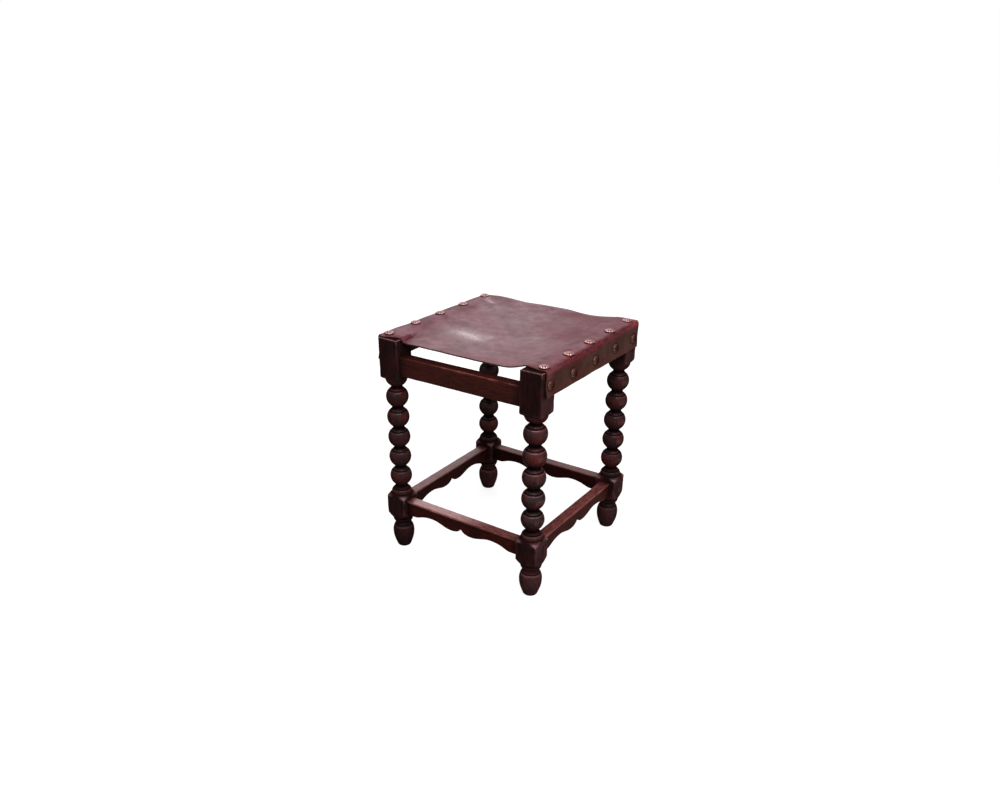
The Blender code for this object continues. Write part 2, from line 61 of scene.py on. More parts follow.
# Turned outline, as levels above the floor and radii
BLOCK_TOP = 450.0
BLOCK_RINGS = (450.0, 449.85, 449.4, 448.7, 448.0, 446.0, 440.0, 430.0, 420.0, 410.0, 400.0, 390.0, 382.0,
               378.0)
LOW_BLOCK_RINGS = (115.0, 110.0, 104.0, 98.0, 92.0, 86.0, 83.0)
BOBBIN_CENTRES = (332.05, 289.55, 247.05, 204.55, 162.05)
BOBBIN_RADIUS = 21.9
NECK_RADIUS = 11.1
ANKLE_RADIUS = 13.2
SWELLINGS = BOBBIN_CENTRES + (384.0, 130.0, 78.0, 40.0)
# Beads, as (centre, radius, half height)
POMMEL = (370.6, 21.5, 18.0)
COLLAR = (124.8, 20.9, 16.6)
ANKLE = (67.0, 20.6, 15.6)
FOOT = (34.0, 21.9, 27.8)
# Scribed rings: one round each bobbin's shoulder, one over the collar and one over the foot
SCRIBE_RISE = 13.9
SCRIBES = tuple(centre + SCRIBE_RISE for centre in BOBBIN_CENTRES) + (134.0, 49.3)
SCRIBE_HALF_WIDTH = 1.5
SCRIBE_DEPTH = 1.3
# Fine grooves in the collar and the ankle, as (centre, depth)
GROOVES = ((124.6, 0.9), (67.4, 0.8))
GROOVE_HALF_WIDTH = 0.8
# Curves between square and turned work, from the square end, and the foot's
SHOULDER_CURVE = ((376.0, 32.0), (373.8, 30.7), (372.5, 28.6), (371.7, 25.0), (371.2, 21.5))
UPPER_POMMEL_CURVE = ((117.3, 31.6), (118.6, 29.7), (121.0, 26.0), (123.6, 21.9), (124.2, 20.9))
LOWER_POMMEL_CURVE = ((80.4, 31.6), (79.2, 30.5), (76.8, 28.3), (74.4, 26.2), (72.2, 24.3), (70.4, 22.5),
                      (69.0, 20.9), (67.9, 20.1))
FOOT_CURVE = ((34.0, 21.9), (28.0, 21.6), (22.0, 20.7), (16.5, 19.3), (11.0, 17.5), (6.0, 15.7), (2.2, 14.2),
              (0.6, 13.1), (0.0, 12.2))

# Boards: thickness, lowest and highest level
SEAT_RAIL = (0.0220, 0.3811, 0.4186)
SEAT_RAIL_SETBACK = 0.0060
SIDE_RAIL = (0.0220, 0.4090, 0.4500)
SIDE_RAIL_SETBACK = 0.0010
STRETCHER = (0.0215, 0.0806, 0.1112)
JOINT_LINE = 0.0001
# Rise of a stretcher's lower edge by the distance from its middle, in millimetres: a cupid's bow
BOW = ((0.0, 10.2), (3.0, 6.6), (7.0, 3.6), (11.0, 1.7), (16.0, 0.5), (22.0, 0.0), (32.0, 0.6), (40.0, 2.4),
       (49.0, 5.1), (60.0, 8.0), (70.0, 9.0), (82.0, 8.3), (93.0, 6.2), (101.0, 3.4), (108.0, 1.0),
       (113.0, 0.0), (140.0, 0.0))

# Hide: thickness, its bend over the side rails and where its edges lie
HIDE_THICKNESS = 0.0032
HIDE_OUTER_X = 0.18025
HIDE_TOP = 0.4535
HIDE_BEND = 0.0050
HIDE_HEM_FRONT = 0.4062
HIDE_HEM_BACK = 0.4022
HIDE_FRONT = -0.1635
HIDE_FRONT_CORNER = -0.1690
HIDE_BACK = 0.1732
# Points of its mesh from front to back
HIDE_ROWS = 177
STUD_X = 0.16705
STUD_LEVEL = 0.4230
STUD_ROWS = (-0.1565, -0.07825, 0.0, 0.07825, 0.1565)
# Studs driven a little out of line, by side and number in the row
TOP_SHIFTS = {1: {1: (0.0012, 0.0015), 4: (-0.0026, -0.0008)}, -1: {0: (0.0018, -0.0026)}}
SIDE_SHIFTS = {1: {0: (0.0010, 0.0022), 2: (0.0015, 0.0), 3: (0.0, 0.0013), 4: (-0.0026, -0.0005)}, -1: {}}
# Ring that a stud's rim presses into the hide: its radius and width
PRESSED_RADIUS = 0.0112
PRESSED_WIDTH = 0.0014

# Fall of the hide below its top, in millimetres, as (place across, fall)
FRONT_FALL = ((-180, 0), (-150, -0.2), (-137.5, 0.0), (-133.5, 0.8), (-131.2, 3.2), (-129, 6.2),
              (-126.6, 8.1), (-122, 8.6), (-114, 8.4), (-100, 8.1), (-78, 7.8), (-40, 8.3), (-5, 8.8),
              (40, 9.2), (69, 9.4), (88, 9.0), (99, 8.2), (109, 6.4), (119, 3.6), (129, 0.6), (137, -1.4),
              (147, -1.5), (158, -0.6), (168, 0), (180, 0))
BACK_FALL = ((-180, 0), (-165, -0.6), (-150, -2.0), (-140, -2.3), (-126, -1.3), (-113, -0.3), (-93, 0.9),
             (-70, 1.8), (-40, 1.5), (-6, 0.8), (15, 1.3), (35, 2.4), (51, 3.8), (66, 4.8), (81, 5.1),
             (99, 4.2), (120, 1.6), (145, -1.1), (165, -0.4), (180, 0))
CENTRE_FALL = 14.5

# Marks of wear, dirt and painted light that the finishes read from the pieces
WOOD_MARKS = ("wear_and_painted_light", "grime_and_shade", "polish")
HIDE_MARKS = ("rub", "drop", "rim", "crack_and_step_shade", "scuff_and_glint", "flush", "grey_sheen", "smudge_and_rim_shade", "dull", "warm")
# Marks on the hide's top, as (strength, centre, half lengths, turn)
# Scuffs rubbed pale, paler still with painted highlights along them
SCUFFS_AND_GLINTS = (
    (0.56, (-0.062, -0.048), (0.042, 0.024), 0.0),
    (0.40, (-0.074, -0.046), (0.020, 0.0070), 0.0),
    (0.34, (-0.042, -0.054), (0.016, 0.0070), -0.35),
    (0.25, (-0.026, -0.030), (0.008, 0.0070), 0.0),
    (0.62, (-0.136, 0.131), (0.012, 0.0060), -0.35),
    (0.40, (-0.150, 0.143), (0.004, 0.0080), 0.2),
    (0.22, (0.049, 0.010), (0.014, 0.0090), 0.3),
)
FLUSHES = (
    (1.0, (0.028, 0.082), (0.024, 0.020), 0.3),
    (0.9, (0.078, 0.052), (0.022, 0.024), -0.3),
    (0.9, (0.070, 0.150), (0.050, 0.018), 0.0),
    (0.8, (0.045, -0.155), (0.060, 0.011), 0.0),
    (0.3, (-0.122, -0.150), (0.016, 0.020), 0.0),
    (0.9, (-0.122, 0.158), (0.020, 0.012), 0.0),
    (0.4, (-0.050, 0.020), (0.022, 0.018), 0.0),
    (0.5, (0.055, 0.085), (0.026, 0.034), 0.0),
)
# Patches of painted sheen that grey the top
GREY_SHEENS = (
    (0.9, (-0.036, 0.082), (0.055, 0.050), 0.0),
    (0.6, (-0.060, -0.030), (0.050, 0.030), 0.0),
    (0.6, (0.045, -0.010), (0.030, 0.030), 0.0),
    (0.5, (-0.010, -0.100), (0.060, 0.030), 0.0),
    (0.9, (-0.105, 0.105), (0.030, 0.022), 0.4),
)
SMUDGES = (
    (0.9, (0.145, -0.117), (0.009, 0.005), 0.4),
    (0.8, (0.147, -0.139), (0.006, 0.005), 0.0),
    (0.5, (0.154, -0.060), (0.006, 0.010), 0.0),
    (0.5, (0.150, -0.012), (0.008, 0.012), 0.0),
    (0.5, (0.152, 0.045), (0.006, 0.014), 0.0),
    (0.4, (0.146, -0.142), (0.010, 0.010), 0.0),
    (0.5, (-0.124, 0.160), (0.014, 0.010), 0.0),
    (0.5, (0.120, -0.128), (0.016, 0.008), 0.5),
    (0.12, (-0.124, -0.075), (0.012, 0.050), 0.1),
)
# Crimson ground laid bare in the corner over the front left leg
BARED = (
    (0.16, (-0.135, -0.153), (0.0055, 0.0130), 0.0),
    (0.22, (-0.1380, -0.136), (0.0055, 0.0120), 0.0),
    (0.95, (-0.1330, -0.1225), (0.0045, 0.0060), 0.0),
)
# Dark line beside it: a crack, darkened as painted shade at the foot of the step off the block, as (place
# back, place across) in millimetres
TEAR = ((-172, -126.0), (-159, -127.4), (-151, -128.6), (-141, -129.4), (-127, -129.8), (-118, -131.2))
# How far round and down the hide the bend is rubbed to crimson, from front to back, in millimetres
RUBBED_REACH = ((-172, 11.5), (-148, 12.5), (-104, 17.0), (-53, 18.0), (17, 18.5), (54, 15.0), (112, 13.0),
                (175, 12.5))


def smooth(value, low=0.0, high=1.0):
    """Smooth rise from 0 at low to 1 at high."""
    share = min(1.0, max(0.0, (value - low) / (high - low)))
    return share * share * (3 - 2 * share)


def tent(value, peak, reach):
    """Straight rise to 1 at a peak and fall to 0 at its reach on both sides."""
    return max(0.0, 1 - abs(value - peak) / reach)


def hill(value, peak, reach):
    """Soft rise to 1 at a peak and fall to about 0 at twice its reach on both sides."""
    return math.exp(-((value - peak) / reach) ** 2)


def soft_min(a, b, width):
    """The lower of two values, rounded where they cross."""
    return (a + b - math.sqrt((a - b) ** 2 + width * width)) / 2


def soft_max(a, b, width):
    """The higher of two values, rounded where they cross."""
    return (a + b + math.sqrt((a - b) ** 2 + width * width)) / 2


def along(table, place):
    """Value of a table of (place, value) pairs, rising in place, eased between its rows."""
    if place <= table[0][0]:
        return table[0][1]
    for i in range(len(table) - 1):
        (p1, v1), (p2, v2) = table[i], table[i + 1]
        if place <= p2:
            span = p2 - p1
            p0, v0 = table[i - 1] if i else (p1 - span, v1)
            p3, v3 = table[i + 2] if i + 2 < len(table) else (p2 + span, v2)
            t = (place - p1) / span
            start = (v2 - v0) / (p2 - p0) * span
            end = (v3 - v1) / (p3 - p1) * span
            return (v1 * (2 * t ** 3 - 3 * t ** 2 + 1) + start * (t ** 3 - 2 * t ** 2 + t)
                    + v2 * (3 * t ** 2 - 2 * t ** 3) + end * (t ** 3 - t ** 2))
    return table[-1][1]


def ripple(place, scale, seed):
    """Smooth random value about zero, with features about as large as scale."""
    return noise.noise(Vector(place) / scale + Vector((seed * 7.31, seed * 3.77, seed * 5.13)))


def note(marks, *values):
    """Add one point's values to the marks of a piece, in their order."""
    for kept, value in zip(marks.values(), values):
        kept.append(value)


def join_rings(first, second):
    """Faces between two closed rings of points."""
    count = len(first)
    return [(first[i], second[i], second[(i + 1) % count], first[(i + 1) % count]) for i in range(count)]


def add_piece(name, verts, faces, marks, materials, face_materials=None, sharp_from=None):
    """Make one piece of the stool from its points and faces, with its marks of wear and painted light."""
    mesh = bpy.data.meshes.new(name)
    mesh.from_pydata([tuple(v) for v in verts], [], faces)
    for mark, values in marks.items():
        if isinstance(values[0], tuple):
            attribute = mesh.attributes.new(mark, "FLOAT_VECTOR", "POINT")
            attribute.data.foreach_set("vector", [x for value in values for x in value])
        else:
            attribute = mesh.attributes.new(mark, "FLOAT", "POINT")
            attribute.data.foreach_set("value", values)
    for material in materials:
        mesh.materials.append(material)
    if face_materials:
        mesh.polygons.foreach_set("material_index", face_materials)
    mesh.shade_smooth()
    if sharp_from:
        mesh.set_sharp_from_angle(angle=math.radians(sharp_from))
    return add_object(name, mesh)


def add_object(name, data):
    """Put one object in the scene."""
    thing = bpy.data.objects.new(name, data)
    bpy.context.scene.collection.objects.link(thing)
    return thing


def seat(piece, node):
    """Let a piece take the place of one node of the frame."""
    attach(piece, "root")
    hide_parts(node)


# Finishes


def linear(code):
    """Linear colour of an sRGB hex code."""
    values = [int(code[i:i + 2], 16) / 255 for i in (1, 3, 5)]
    return tuple(v / 12.92 if v <= 0.04045 else ((v + 0.055) / 1.055) ** 2.4 for v in values) + (1.0,)


def add(tree, kind, inputs=(), stops=(), output=0, **settings):
    """Add a node with its settings, its stops and its input values or links, and give one of its outputs.

    Inputs are a row of the first ones or a dict, and a hex code is a colour.
    """
    node = tree.nodes.new("ShaderNode" + kind)
    for name, value in settings.items():
        setattr(node, name, value)
    if stops:
        ramp = node.color_ramp
        while len(ramp.elements) < len(stops):
            ramp.elements.new(0.5)
        for element, (place, colour) in zip(ramp.elements, stops):
            element.position = place
            element.color = linear(colour) if isinstance(colour, str) else (colour, colour, colour, 1)
    for key, value in (inputs if isinstance(inputs, dict) else dict(enumerate(inputs))).items():
        if isinstance(value, bpy.types.NodeSocket):
            tree.links.new(value, node.inputs[key])
        else:
            node.inputs[key].default_value = linear(value) if isinstance(value, str) else value
    return node.outputs[output] if node.outputs else None


def new_finish(name):
    """Start a finish with no nodes."""
    material = bpy.data.materials.new(name)
    material.use_nodes = True
    material.node_tree.nodes.clear()
    return material, material.node_tree


def lay_over(tree, colour, *coats):
    """Lay coats of colour over a ground one by one, each as far as its share shows it."""
    for share, coat in coats:
        colour = add(tree, "Mix", {0: share, 6: colour, 7: coat}, output=2, data_type="RGBA")
    return colour


def broken_up(tree, mark, pattern, factor, offset):
    """Share of a mark of wear, broken up by a pattern."""
    pattern = add(tree, "Math", (pattern, factor, offset), operation="MULTIPLY_ADD")
    return add(tree, "Math", (pattern, mark), operation="MULTIPLY", use_clamp=True)


def end_finish(tree, relief, strength, depth, sockets):
    """End a finish with its shader, bumped by a relief."""
    bump = add(tree, "Bump", {"Strength": strength, "Distance": depth, "Height": relief})
    shader = add(tree, "BsdfPrincipled", {**sockets, "Normal": bump})
    add(tree, "OutputMaterial", {"Surface": shader})


def waxed_oak(name, grain_axis, dark, body, red, worn, polish, shine, fades=None):
    """Oak, stained dark and waxed for generations.

    The stain hides most of the grain, so growth rings and pores show as faint streaks. Wax and dirt
    fill the hollows nearly black, darkened further with painted shade, and hands and feet rub the high
    places paler, redder and smoother, some of them paler still with painted highlights and sheen.
    Polish is the roughness where rubbed and where dull, and shine the specular level dull and rubbed.
    Fades are the slants, from 0 square on to 1 edge on, between which thin wax stops shining.
    """
    material, tree = new_finish(name)
    place = add(tree, "TexCoord", output="Object")
    piece = add(tree, "ObjectInfo", output="Location")
    moved = add(tree, "VectorMath", (place, piece), operation="ADD")
    wear_and_painted_light, grime_and_shade, rubbing = (add(tree, "Attribute", output="Fac", attribute_name=mark) for mark in WOOD_MARKS)
    # Places for what is drawn out along the grain: the rings, the pores and the knocks
    drawn_out = []
    for share in (0.12, 0.07, 0.35):
        stretch = [1.0, 1.0, 1.0]
        stretch[grain_axis] = share
        drawn_out.append(add(tree, "Mapping", {"Vector": moved, "Scale": stretch}))
    grain, fine, scraped = drawn_out

    # Growth rings about 3 mm apart, bent by slow growth
    drift = add(tree, "TexNoise", {"Vector": grain, "Scale": 1 / 0.022, "Detail": 3.0})
    rings = add(tree, "TexNoise", {"Vector": grain, "Scale": 1 / 0.0030, "Detail": 2.0, "Distortion": 0.6})
    tone = add(tree, "Math", (drift, rings), operation="ADD")
    tone = add(tree, "ValToRGB", (tone,), ((0.75, 0.0), (1.0, 1.0)))
    # Pores are 0.3 mm wide in life and drawn about 1 mm wide, so that they show
    pores = add(tree, "TexNoise", {"Vector": fine, "Scale": 1 / 0.0010, "Detail": 1.0})
    pores = add(tree, "ValToRGB", (pores,), ((0.34, 1.0), (0.46, 0.0)))
    # Patches about 3 cm across where the red ground of the stain comes through, most where rubbed
    patch = add(tree, "TexNoise", {"Vector": moved, "Scale": 1 / 0.030, "Detail": 3.0})
    patch = add(tree, "ValToRGB", (patch,), ((0.40, 0.04), (0.66, 0.85)))
    shown = add(tree, "Math", (rubbing, 6.0, 0.35), operation="MULTIPLY_ADD", use_clamp=True)
    patch = add(tree, "Math", (patch, shown), operation="MULTIPLY")
    # Knocks and rubs of 4 mm by 12 mm along the grain break the worn arrises up
    knocks = add(tree, "TexNoise", {"Vector": scraped, "Scale": 1 / 0.0045, "Detail": 4.0})
    rubbed = broken_up(tree, wear_and_painted_light, knocks, 1.6, -0.35)
    # Grime and painted shade go on near black, and the worn colour carries painted highlights and sheen as
    # well
    colour = lay_over(tree, dark, (tone, body), (patch, red), (pores, dark), (rubbed, worn),
                      (grime_and_shade, "#0c0607"))

    gloss = add(tree, "TexNoise", {"Vector": moved, "Scale": 1 / 0.012, "Detail": 4.0})
    gloss = add(tree, "MapRange", (gloss, 0.3, 0.7, *polish))
    gloss = add(tree, "Math", (grime_and_shade, 0.25, gloss), operation="MULTIPLY_ADD")
    level = add(tree, "MapRange", (rubbing, 0.0, 1.0, *shine))
    if fades:
        slant = add(tree, "LayerWeight", {"Blend": 0.5}, output="Facing")
        faded = add(tree, "MapRange", (slant, *fades, 1.0, 0.02))
        level = add(tree, "Math", (level, faded), operation="MULTIPLY")
    relief = add(tree, "Math", (pores, -0.5, rings), operation="MULTIPLY_ADD")
    relief = add(tree, "Math", (knocks, 0.9, relief), operation="MULTIPLY_ADD")
    # Wax over stained oak, reddened with age so that its shine is a little pink
    end_finish(tree, relief, 0.30, 0.0005, {
        "Base Color": colour, "Roughness": gloss, "Specular IOR Level": level, "IOR": 1.46,
        "Specular Tint": "#ffebf0"})
    return material


def oxblood_hide():
    """Vegetable tanned cattle hide, dyed oxblood and sat on for generations.

    The dye has clouded in patches on the top, with grey patches of painted sheen over it and scuffs paled by
    painted highlights, the bends are rubbed back to crimson, and the drops at the sides have kept a darker
    brown. A ring of painted shade lies round each stud. The grain is fine and softly cracked.
    """
    material, tree = new_finish("oxblood_hide")
    place = add(tree, "Attribute", output="Vector", attribute_name="flat_place")
    rub, drop, rim, crack_and_step_shade, scuff_and_glint, flush, grey_sheen, smudge_and_rim_shade, dull, warm = (
        add(tree, "Attribute", output="Fac", attribute_name=mark) for mark in HIDE_MARKS)

    # Clouds 6 cm and 2 cm across in the dye, and streaks of 6 mm
    dye = add(tree, "TexNoise", {"Vector": place, "Scale": 1 / 0.060, "Detail": 4.0, "Distortion": 0.4})
    mottle = add(tree, "TexNoise", {"Vector": place, "Scale": 1 / 0.019, "Detail": 6.0, "Roughness": 0.62})
    streak = add(tree, "TexNoise", {"Vector": place, "Scale": 1 / 0.006, "Detail": 6.0, "Roughness": 0.7})
    cloudy = add(tree, "Math", (mottle, 0.5, dye), operation="MULTIPLY_ADD")
    ground = add(tree, "ValToRGB", (cloudy,), (
        (0.55, "#582932"), (0.70, "#64343d"), (0.80, "#70404b"), (0.95, "#7c4f5b")))
    # Grey patches are painted sheen on the waxed top, and scuffs are where it is rubbed pale, paled further
    # by painted highlights along them
    painted_grey_sheen = broken_up(tree, grey_sheen, mottle, 1.6, -0.30)
    pale_glint = broken_up(tree, scuff_and_glint, streak, 2.4, -0.55)
    # Flushes of redder dye
    red = broken_up(tree, flush, streak, 0.9, dye)
    # Drops at the sides, browner and darker than the top, and redder in patches
    side_tone = add(tree, "ValToRGB", (cloudy,), ((0.58, "#3e1a17"), (0.72, "#39211c"), (0.92, "#432b23")))
    side_tone = lay_over(tree, side_tone, (broken_up(tree, flush, streak, 2.6, -0.95), "#532723"))
    handled = broken_up(tree, warm, streak, 2.2, -0.55)
    # Smudges of dirt, and a ring of painted shade round each stud
    dirt_and_shade = broken_up(tree, smudge_and_rim_shade, streak, 1.8, -0.25)
    # Bends rubbed back to crimson, their borders broken in patches of 6 mm and 2 mm
    band = add(tree, "Math", (streak, 1.5, rub), operation="MULTIPLY_ADD")
    band = add(tree, "ValToRGB", (band,), ((0.88, 0.0), (1.0, 1.0)))
    band = add(tree, "Math", (band, rub), operation="MULTIPLY", use_clamp=True)
    fresh = add(tree, "ValToRGB", (streak,), ((0.42, "#3b1418"), (0.54, "#571d23"), (0.66, "#6e2b31")))
    ember = add(tree, "ValToRGB", (streak,), ((0.44, "#641820"), (0.58, "#9a3c39")))
    crimson = lay_over(tree, fresh, (flush, ember))
    # The cut edge is dark crimson, and browner towards the sides
    cut_edge = lay_over(tree, "#30090d", (dull, "#432824"))
    # The crack's dark line is partly painted shade at the foot of the step
    colour = lay_over(
        tree, ground, (painted_grey_sheen, "#7d626c"), (red, "#642630"), (pale_glint, "#c4abb0"), (drop, side_tone),
        (handled, "#66352f"), (dirt_and_shade, "#2f1c1c"), (band, crimson), (crack_and_step_shade, "#3c0a10"), (rim, cut_edge))

    # Grain pebbles are 0.4 mm in life and drawn 1.2 mm across, and age cracks run between 6 mm plates
    pebbles = add(tree, "TexVoronoi", {"Vector": place, "Scale": 1 / 0.0012})
    waver = add(tree, "TexNoise", {"Vector": place, "Scale": 1 / 0.008, "Detail": 3.0}, output="Color")
    waver = add(tree, "VectorMath", {0: waver, "Scale": 0.004}, operation="SCALE")
    warped = add(tree, "VectorMath", (place, waver), operation="ADD")
    cracks = add(tree, "TexVoronoi", {"Vector": warped, "Scale": 1 / 0.0065}, feature="DISTANCE_TO_EDGE")
    cracks = add(tree, "ValToRGB", (cracks,), ((0.0, 0.0), (0.09, 1.0)))
    relief = mottle
    for pattern, height in ((pebbles, -0.35), (cracks, 0.22), (streak, 0.5)):
        relief = add(tree, "Math", (pattern, height, relief), operation="MULTIPLY_ADD")
    # Dyed and waxed leather, polished on the seat and dull where it hangs
    gloss = add(tree, "MapRange", (mottle, 0.3, 0.7, 0.50, 0.40))
    gloss = add(tree, "Math", (pale_glint, -0.10, gloss), operation="MULTIPLY_ADD")
    shine = add(tree, "MapRange", (dull, 0.0, 1.0, 0.10, 0.03))
    for share, gain in ((drop, -0.02), (pale_glint, 0.25)):
        shine = add(tree, "Math", (share, gain, shine), operation="MULTIPLY_ADD")
    end_finish(tree, relief, 0.35, 0.0009, {
        "Base Color": colour, "Roughness": gloss, "Specular IOR Level": shine, "IOR": 1.47})
    return material


def flesh_side():
    """Flesh side of the hide: undyed, napped by the splitting knife and browned with age."""
    material, tree = new_finish("flesh_side")
    place = add(tree, "Attribute", output="Vector", attribute_name="flat_place")
    tone = add(tree, "TexNoise", {"Vector": place, "Scale": 1 / 0.045, "Detail": 5.0})
    tone = add(tree, "ValToRGB", (tone,), ((0.36, "#3a2420"), (0.64, "#5c4136")))
    nap = add(tree, "TexNoise", {"Vector": place, "Scale": 1 / 0.0014, "Detail": 3.0})
    # Napped leather scatters nearly all its light
    end_finish(tree, nap, 0.5, 0.0006, {
        "Base Color": lay_over(tree, tone, (nap, "#2c1a17")), "Roughness": 0.9, "Specular IOR Level": 0.03})
    return material


def pressed_copper(name, bright, brown, dark, polish, edge_tint):
    """Copper sheet pressed in a die: polished by wear on its high places, browned in its hollows."""
    material, tree = new_finish(name)
    place = add(tree, "TexCoord", output="Object")
    # Spots of tarnish 2 mm across
    spots = add(tree, "TexNoise", {"Vector": place, "Scale": 1 / 0.0022, "Detail": 4.0})
    # Its wear mark also carries a painted highlight on the outer lobes, painted shade on the skirts of the
    # top studs and a painted highlight on those of the side studs
    wear_and_painted_light = add(tree, "Attribute", output="Fac", attribute_name="wear_and_painted_light")
    share = add(tree, "Math", (spots, 0.9, -0.45), operation="MULTIPLY_ADD")
    share = add(tree, "Math", (share, wear_and_painted_light), operation="ADD", use_clamp=True)
    colour = add(tree, "ValToRGB", (share,), ((0.08, dark), (0.42, brown), (0.85, bright)))
    gloss = add(tree, "MapRange", (share, 0.0, 1.0, *reversed(polish)))
    # Tarnish keeps it from whitening at a slant
    end_finish(tree, spots, 0.25, 0.0003, {
        "Base Color": colour, "Roughness": gloss, "Metallic": 1.0, "Specular Tint": edge_tint})
    return material


# Turned legs


def curve_radius(curve, level):
    """Radius on a table of (level, radius) at a level, in millimetres."""
    return along(sorted(curve), level)


def cuts(level):
    """Depth of the scribed rings and grooves at a level, in millimetres."""
    scribe = max(SCRIBE_DEPTH * tent(level, centre, SCRIBE_HALF_WIDTH) ** 0.85 for centre in SCRIBES)
    return scribe + sum(depth * tent(level, centre, GROOVE_HALF_WIDTH) for centre, depth in GROOVES)


def bead(level, centre, radius, half_height):
    """Radius of a rounded bead at a level, or 0 beyond its ends, in millimetres."""
    share = (level - centre) / half_height
    return radius * math.sqrt(1 - share * share) if abs(share) < 1 else 0.0


def bobbin(level, centre):
    """Radius of a bobbin: a ball a little fuller below than above, in millimetres."""
    share = (level - centre) / BOBBIN_RADIUS
    radius = bead(level, centre, BOBBIN_RADIUS, BOBBIN_RADIUS)
    return radius - 0.7 * smooth(share, 0.55, 0.85) + 0.8 * smooth(-share, 0.70, 0.92) if radius else 0.0


def turned_radius(level):
    """Radius of the turned work between and below the blocks, in millimetres."""
    if level >= SHOULDER_CURVE[-1][0]:
        return curve_radius(SHOULDER_CURVE, level)
    if level > UPPER_POMMEL_CURVE[-1][0]:
        # The pommel's upper half is plain
        if level > 360:
            return bead(level, *POMMEL)
        beads = [bobbin(level, centre) for centre in BOBBIN_CENTRES]
        beads += [bead(level, *POMMEL), bead(level, *COLLAR)]
        return soft_max(max(beads), NECK_RADIUS, 1.4) - cuts(level)
    if level > LOWER_POMMEL_CURVE[0][0]:
        return curve_radius(UPPER_POMMEL_CURVE, level)
    if level > LOWER_POMMEL_CURVE[-1][0]:
        return curve_radius(LOWER_POMMEL_CURVE, level)
    if level > FOOT_CURVE[0][0]:
        return soft_max(max(bead(level, *ANKLE), bead(level, *FOOT)), ANKLE_RADIUS, 1.2) - cuts(level)
    return curve_radius(FOOT_CURVE, level)


def section_columns():
    """Points round the square stock and its rounded arrises, as (x, y, nearness to an arris)."""
    flat = HALF_STOCK - ARRIS_RADIUS
    points = []
    for quarter in range(4):
        turn = Matrix.Rotation(quarter * math.pi / 2, 2)
        for step in range(15):
            across = -flat + 2 * flat * step / 14
            near = max(0.0, (abs(across) - flat + 0.003) / 0.003)
            points.append((turn @ Vector((HALF_STOCK, across)), near))
        for step in (1, 2, 3):
            angle = step * math.pi / 8
            corner = Vector((flat + ARRIS_RADIUS * math.cos(angle), flat + ARRIS_RADIUS * math.sin(angle)))
            points.append((turn @ corner, 1.0))
    return [(p.x, p.y, near) for p, near in points]


def crossing(curve, radius):
    """Level at which a pommel curve reaches a radius, in millimetres."""
    low, high = curve[0][0], curve[-1][0]
    for _ in range(30):
        middle = (low + high) / 2
        if curve_radius(curve, middle) > radius:
            low = middle
        else:
            high = middle
    return low


def turned_levels():
    """Levels of the rings on the turned work, top block to lower block, then lower block to floor."""
    upper = [371.2, 370.8, 369.0, 366.5, 364.0, 361.5, 359.5, 357.8, 356.4, 355.2, 354.4, 353.6]
    offsets = (20.4, 19.7, 19.1, 18.3, 17.2, 16.1, 15.3, 14.9, 14.5, 13.9, 13.3, 12.9, 12.4, 11.8, 11.0,
               10.2, 8.8, 6.0, 3.0, 0.0, -3.0, -6.0, -8.6, -11.0, -13.0, -14.8, -16.3, -17.5, -18.4, -19.1,
               -19.7, -20.4, -21.25)
    for centre in BOBBIN_CENTRES:
        upper += [centre + offset for offset in offsets]
    upper += [140.0, 139.2, 138.4, 137.4, 136.2, 135.4, 135.0, 134.6, 134.0, 133.4, 133.0, 132.4, 131.0,
              129.0, 127.0, 125.6, 125.2, 124.6, 124.2]
    lower = [67.9, 67.4, 66.8, 65.4, 63.4, 61.4, 59.6, 58.2, 57.2, 56.4, 55.6, 54.8, 53.6, 52.2, 51.0, 50.4,
             50.0, 49.3, 48.6, 48.2, 47.2, 44.6, 41.4, 37.8, 34.0, 30.0, 26.0, 22.0, 18.0, 14.0, 10.4, 7.0,
             4.2, 2.2, 1.2, 0.6, 0.2, 0.0]
    return upper, lower


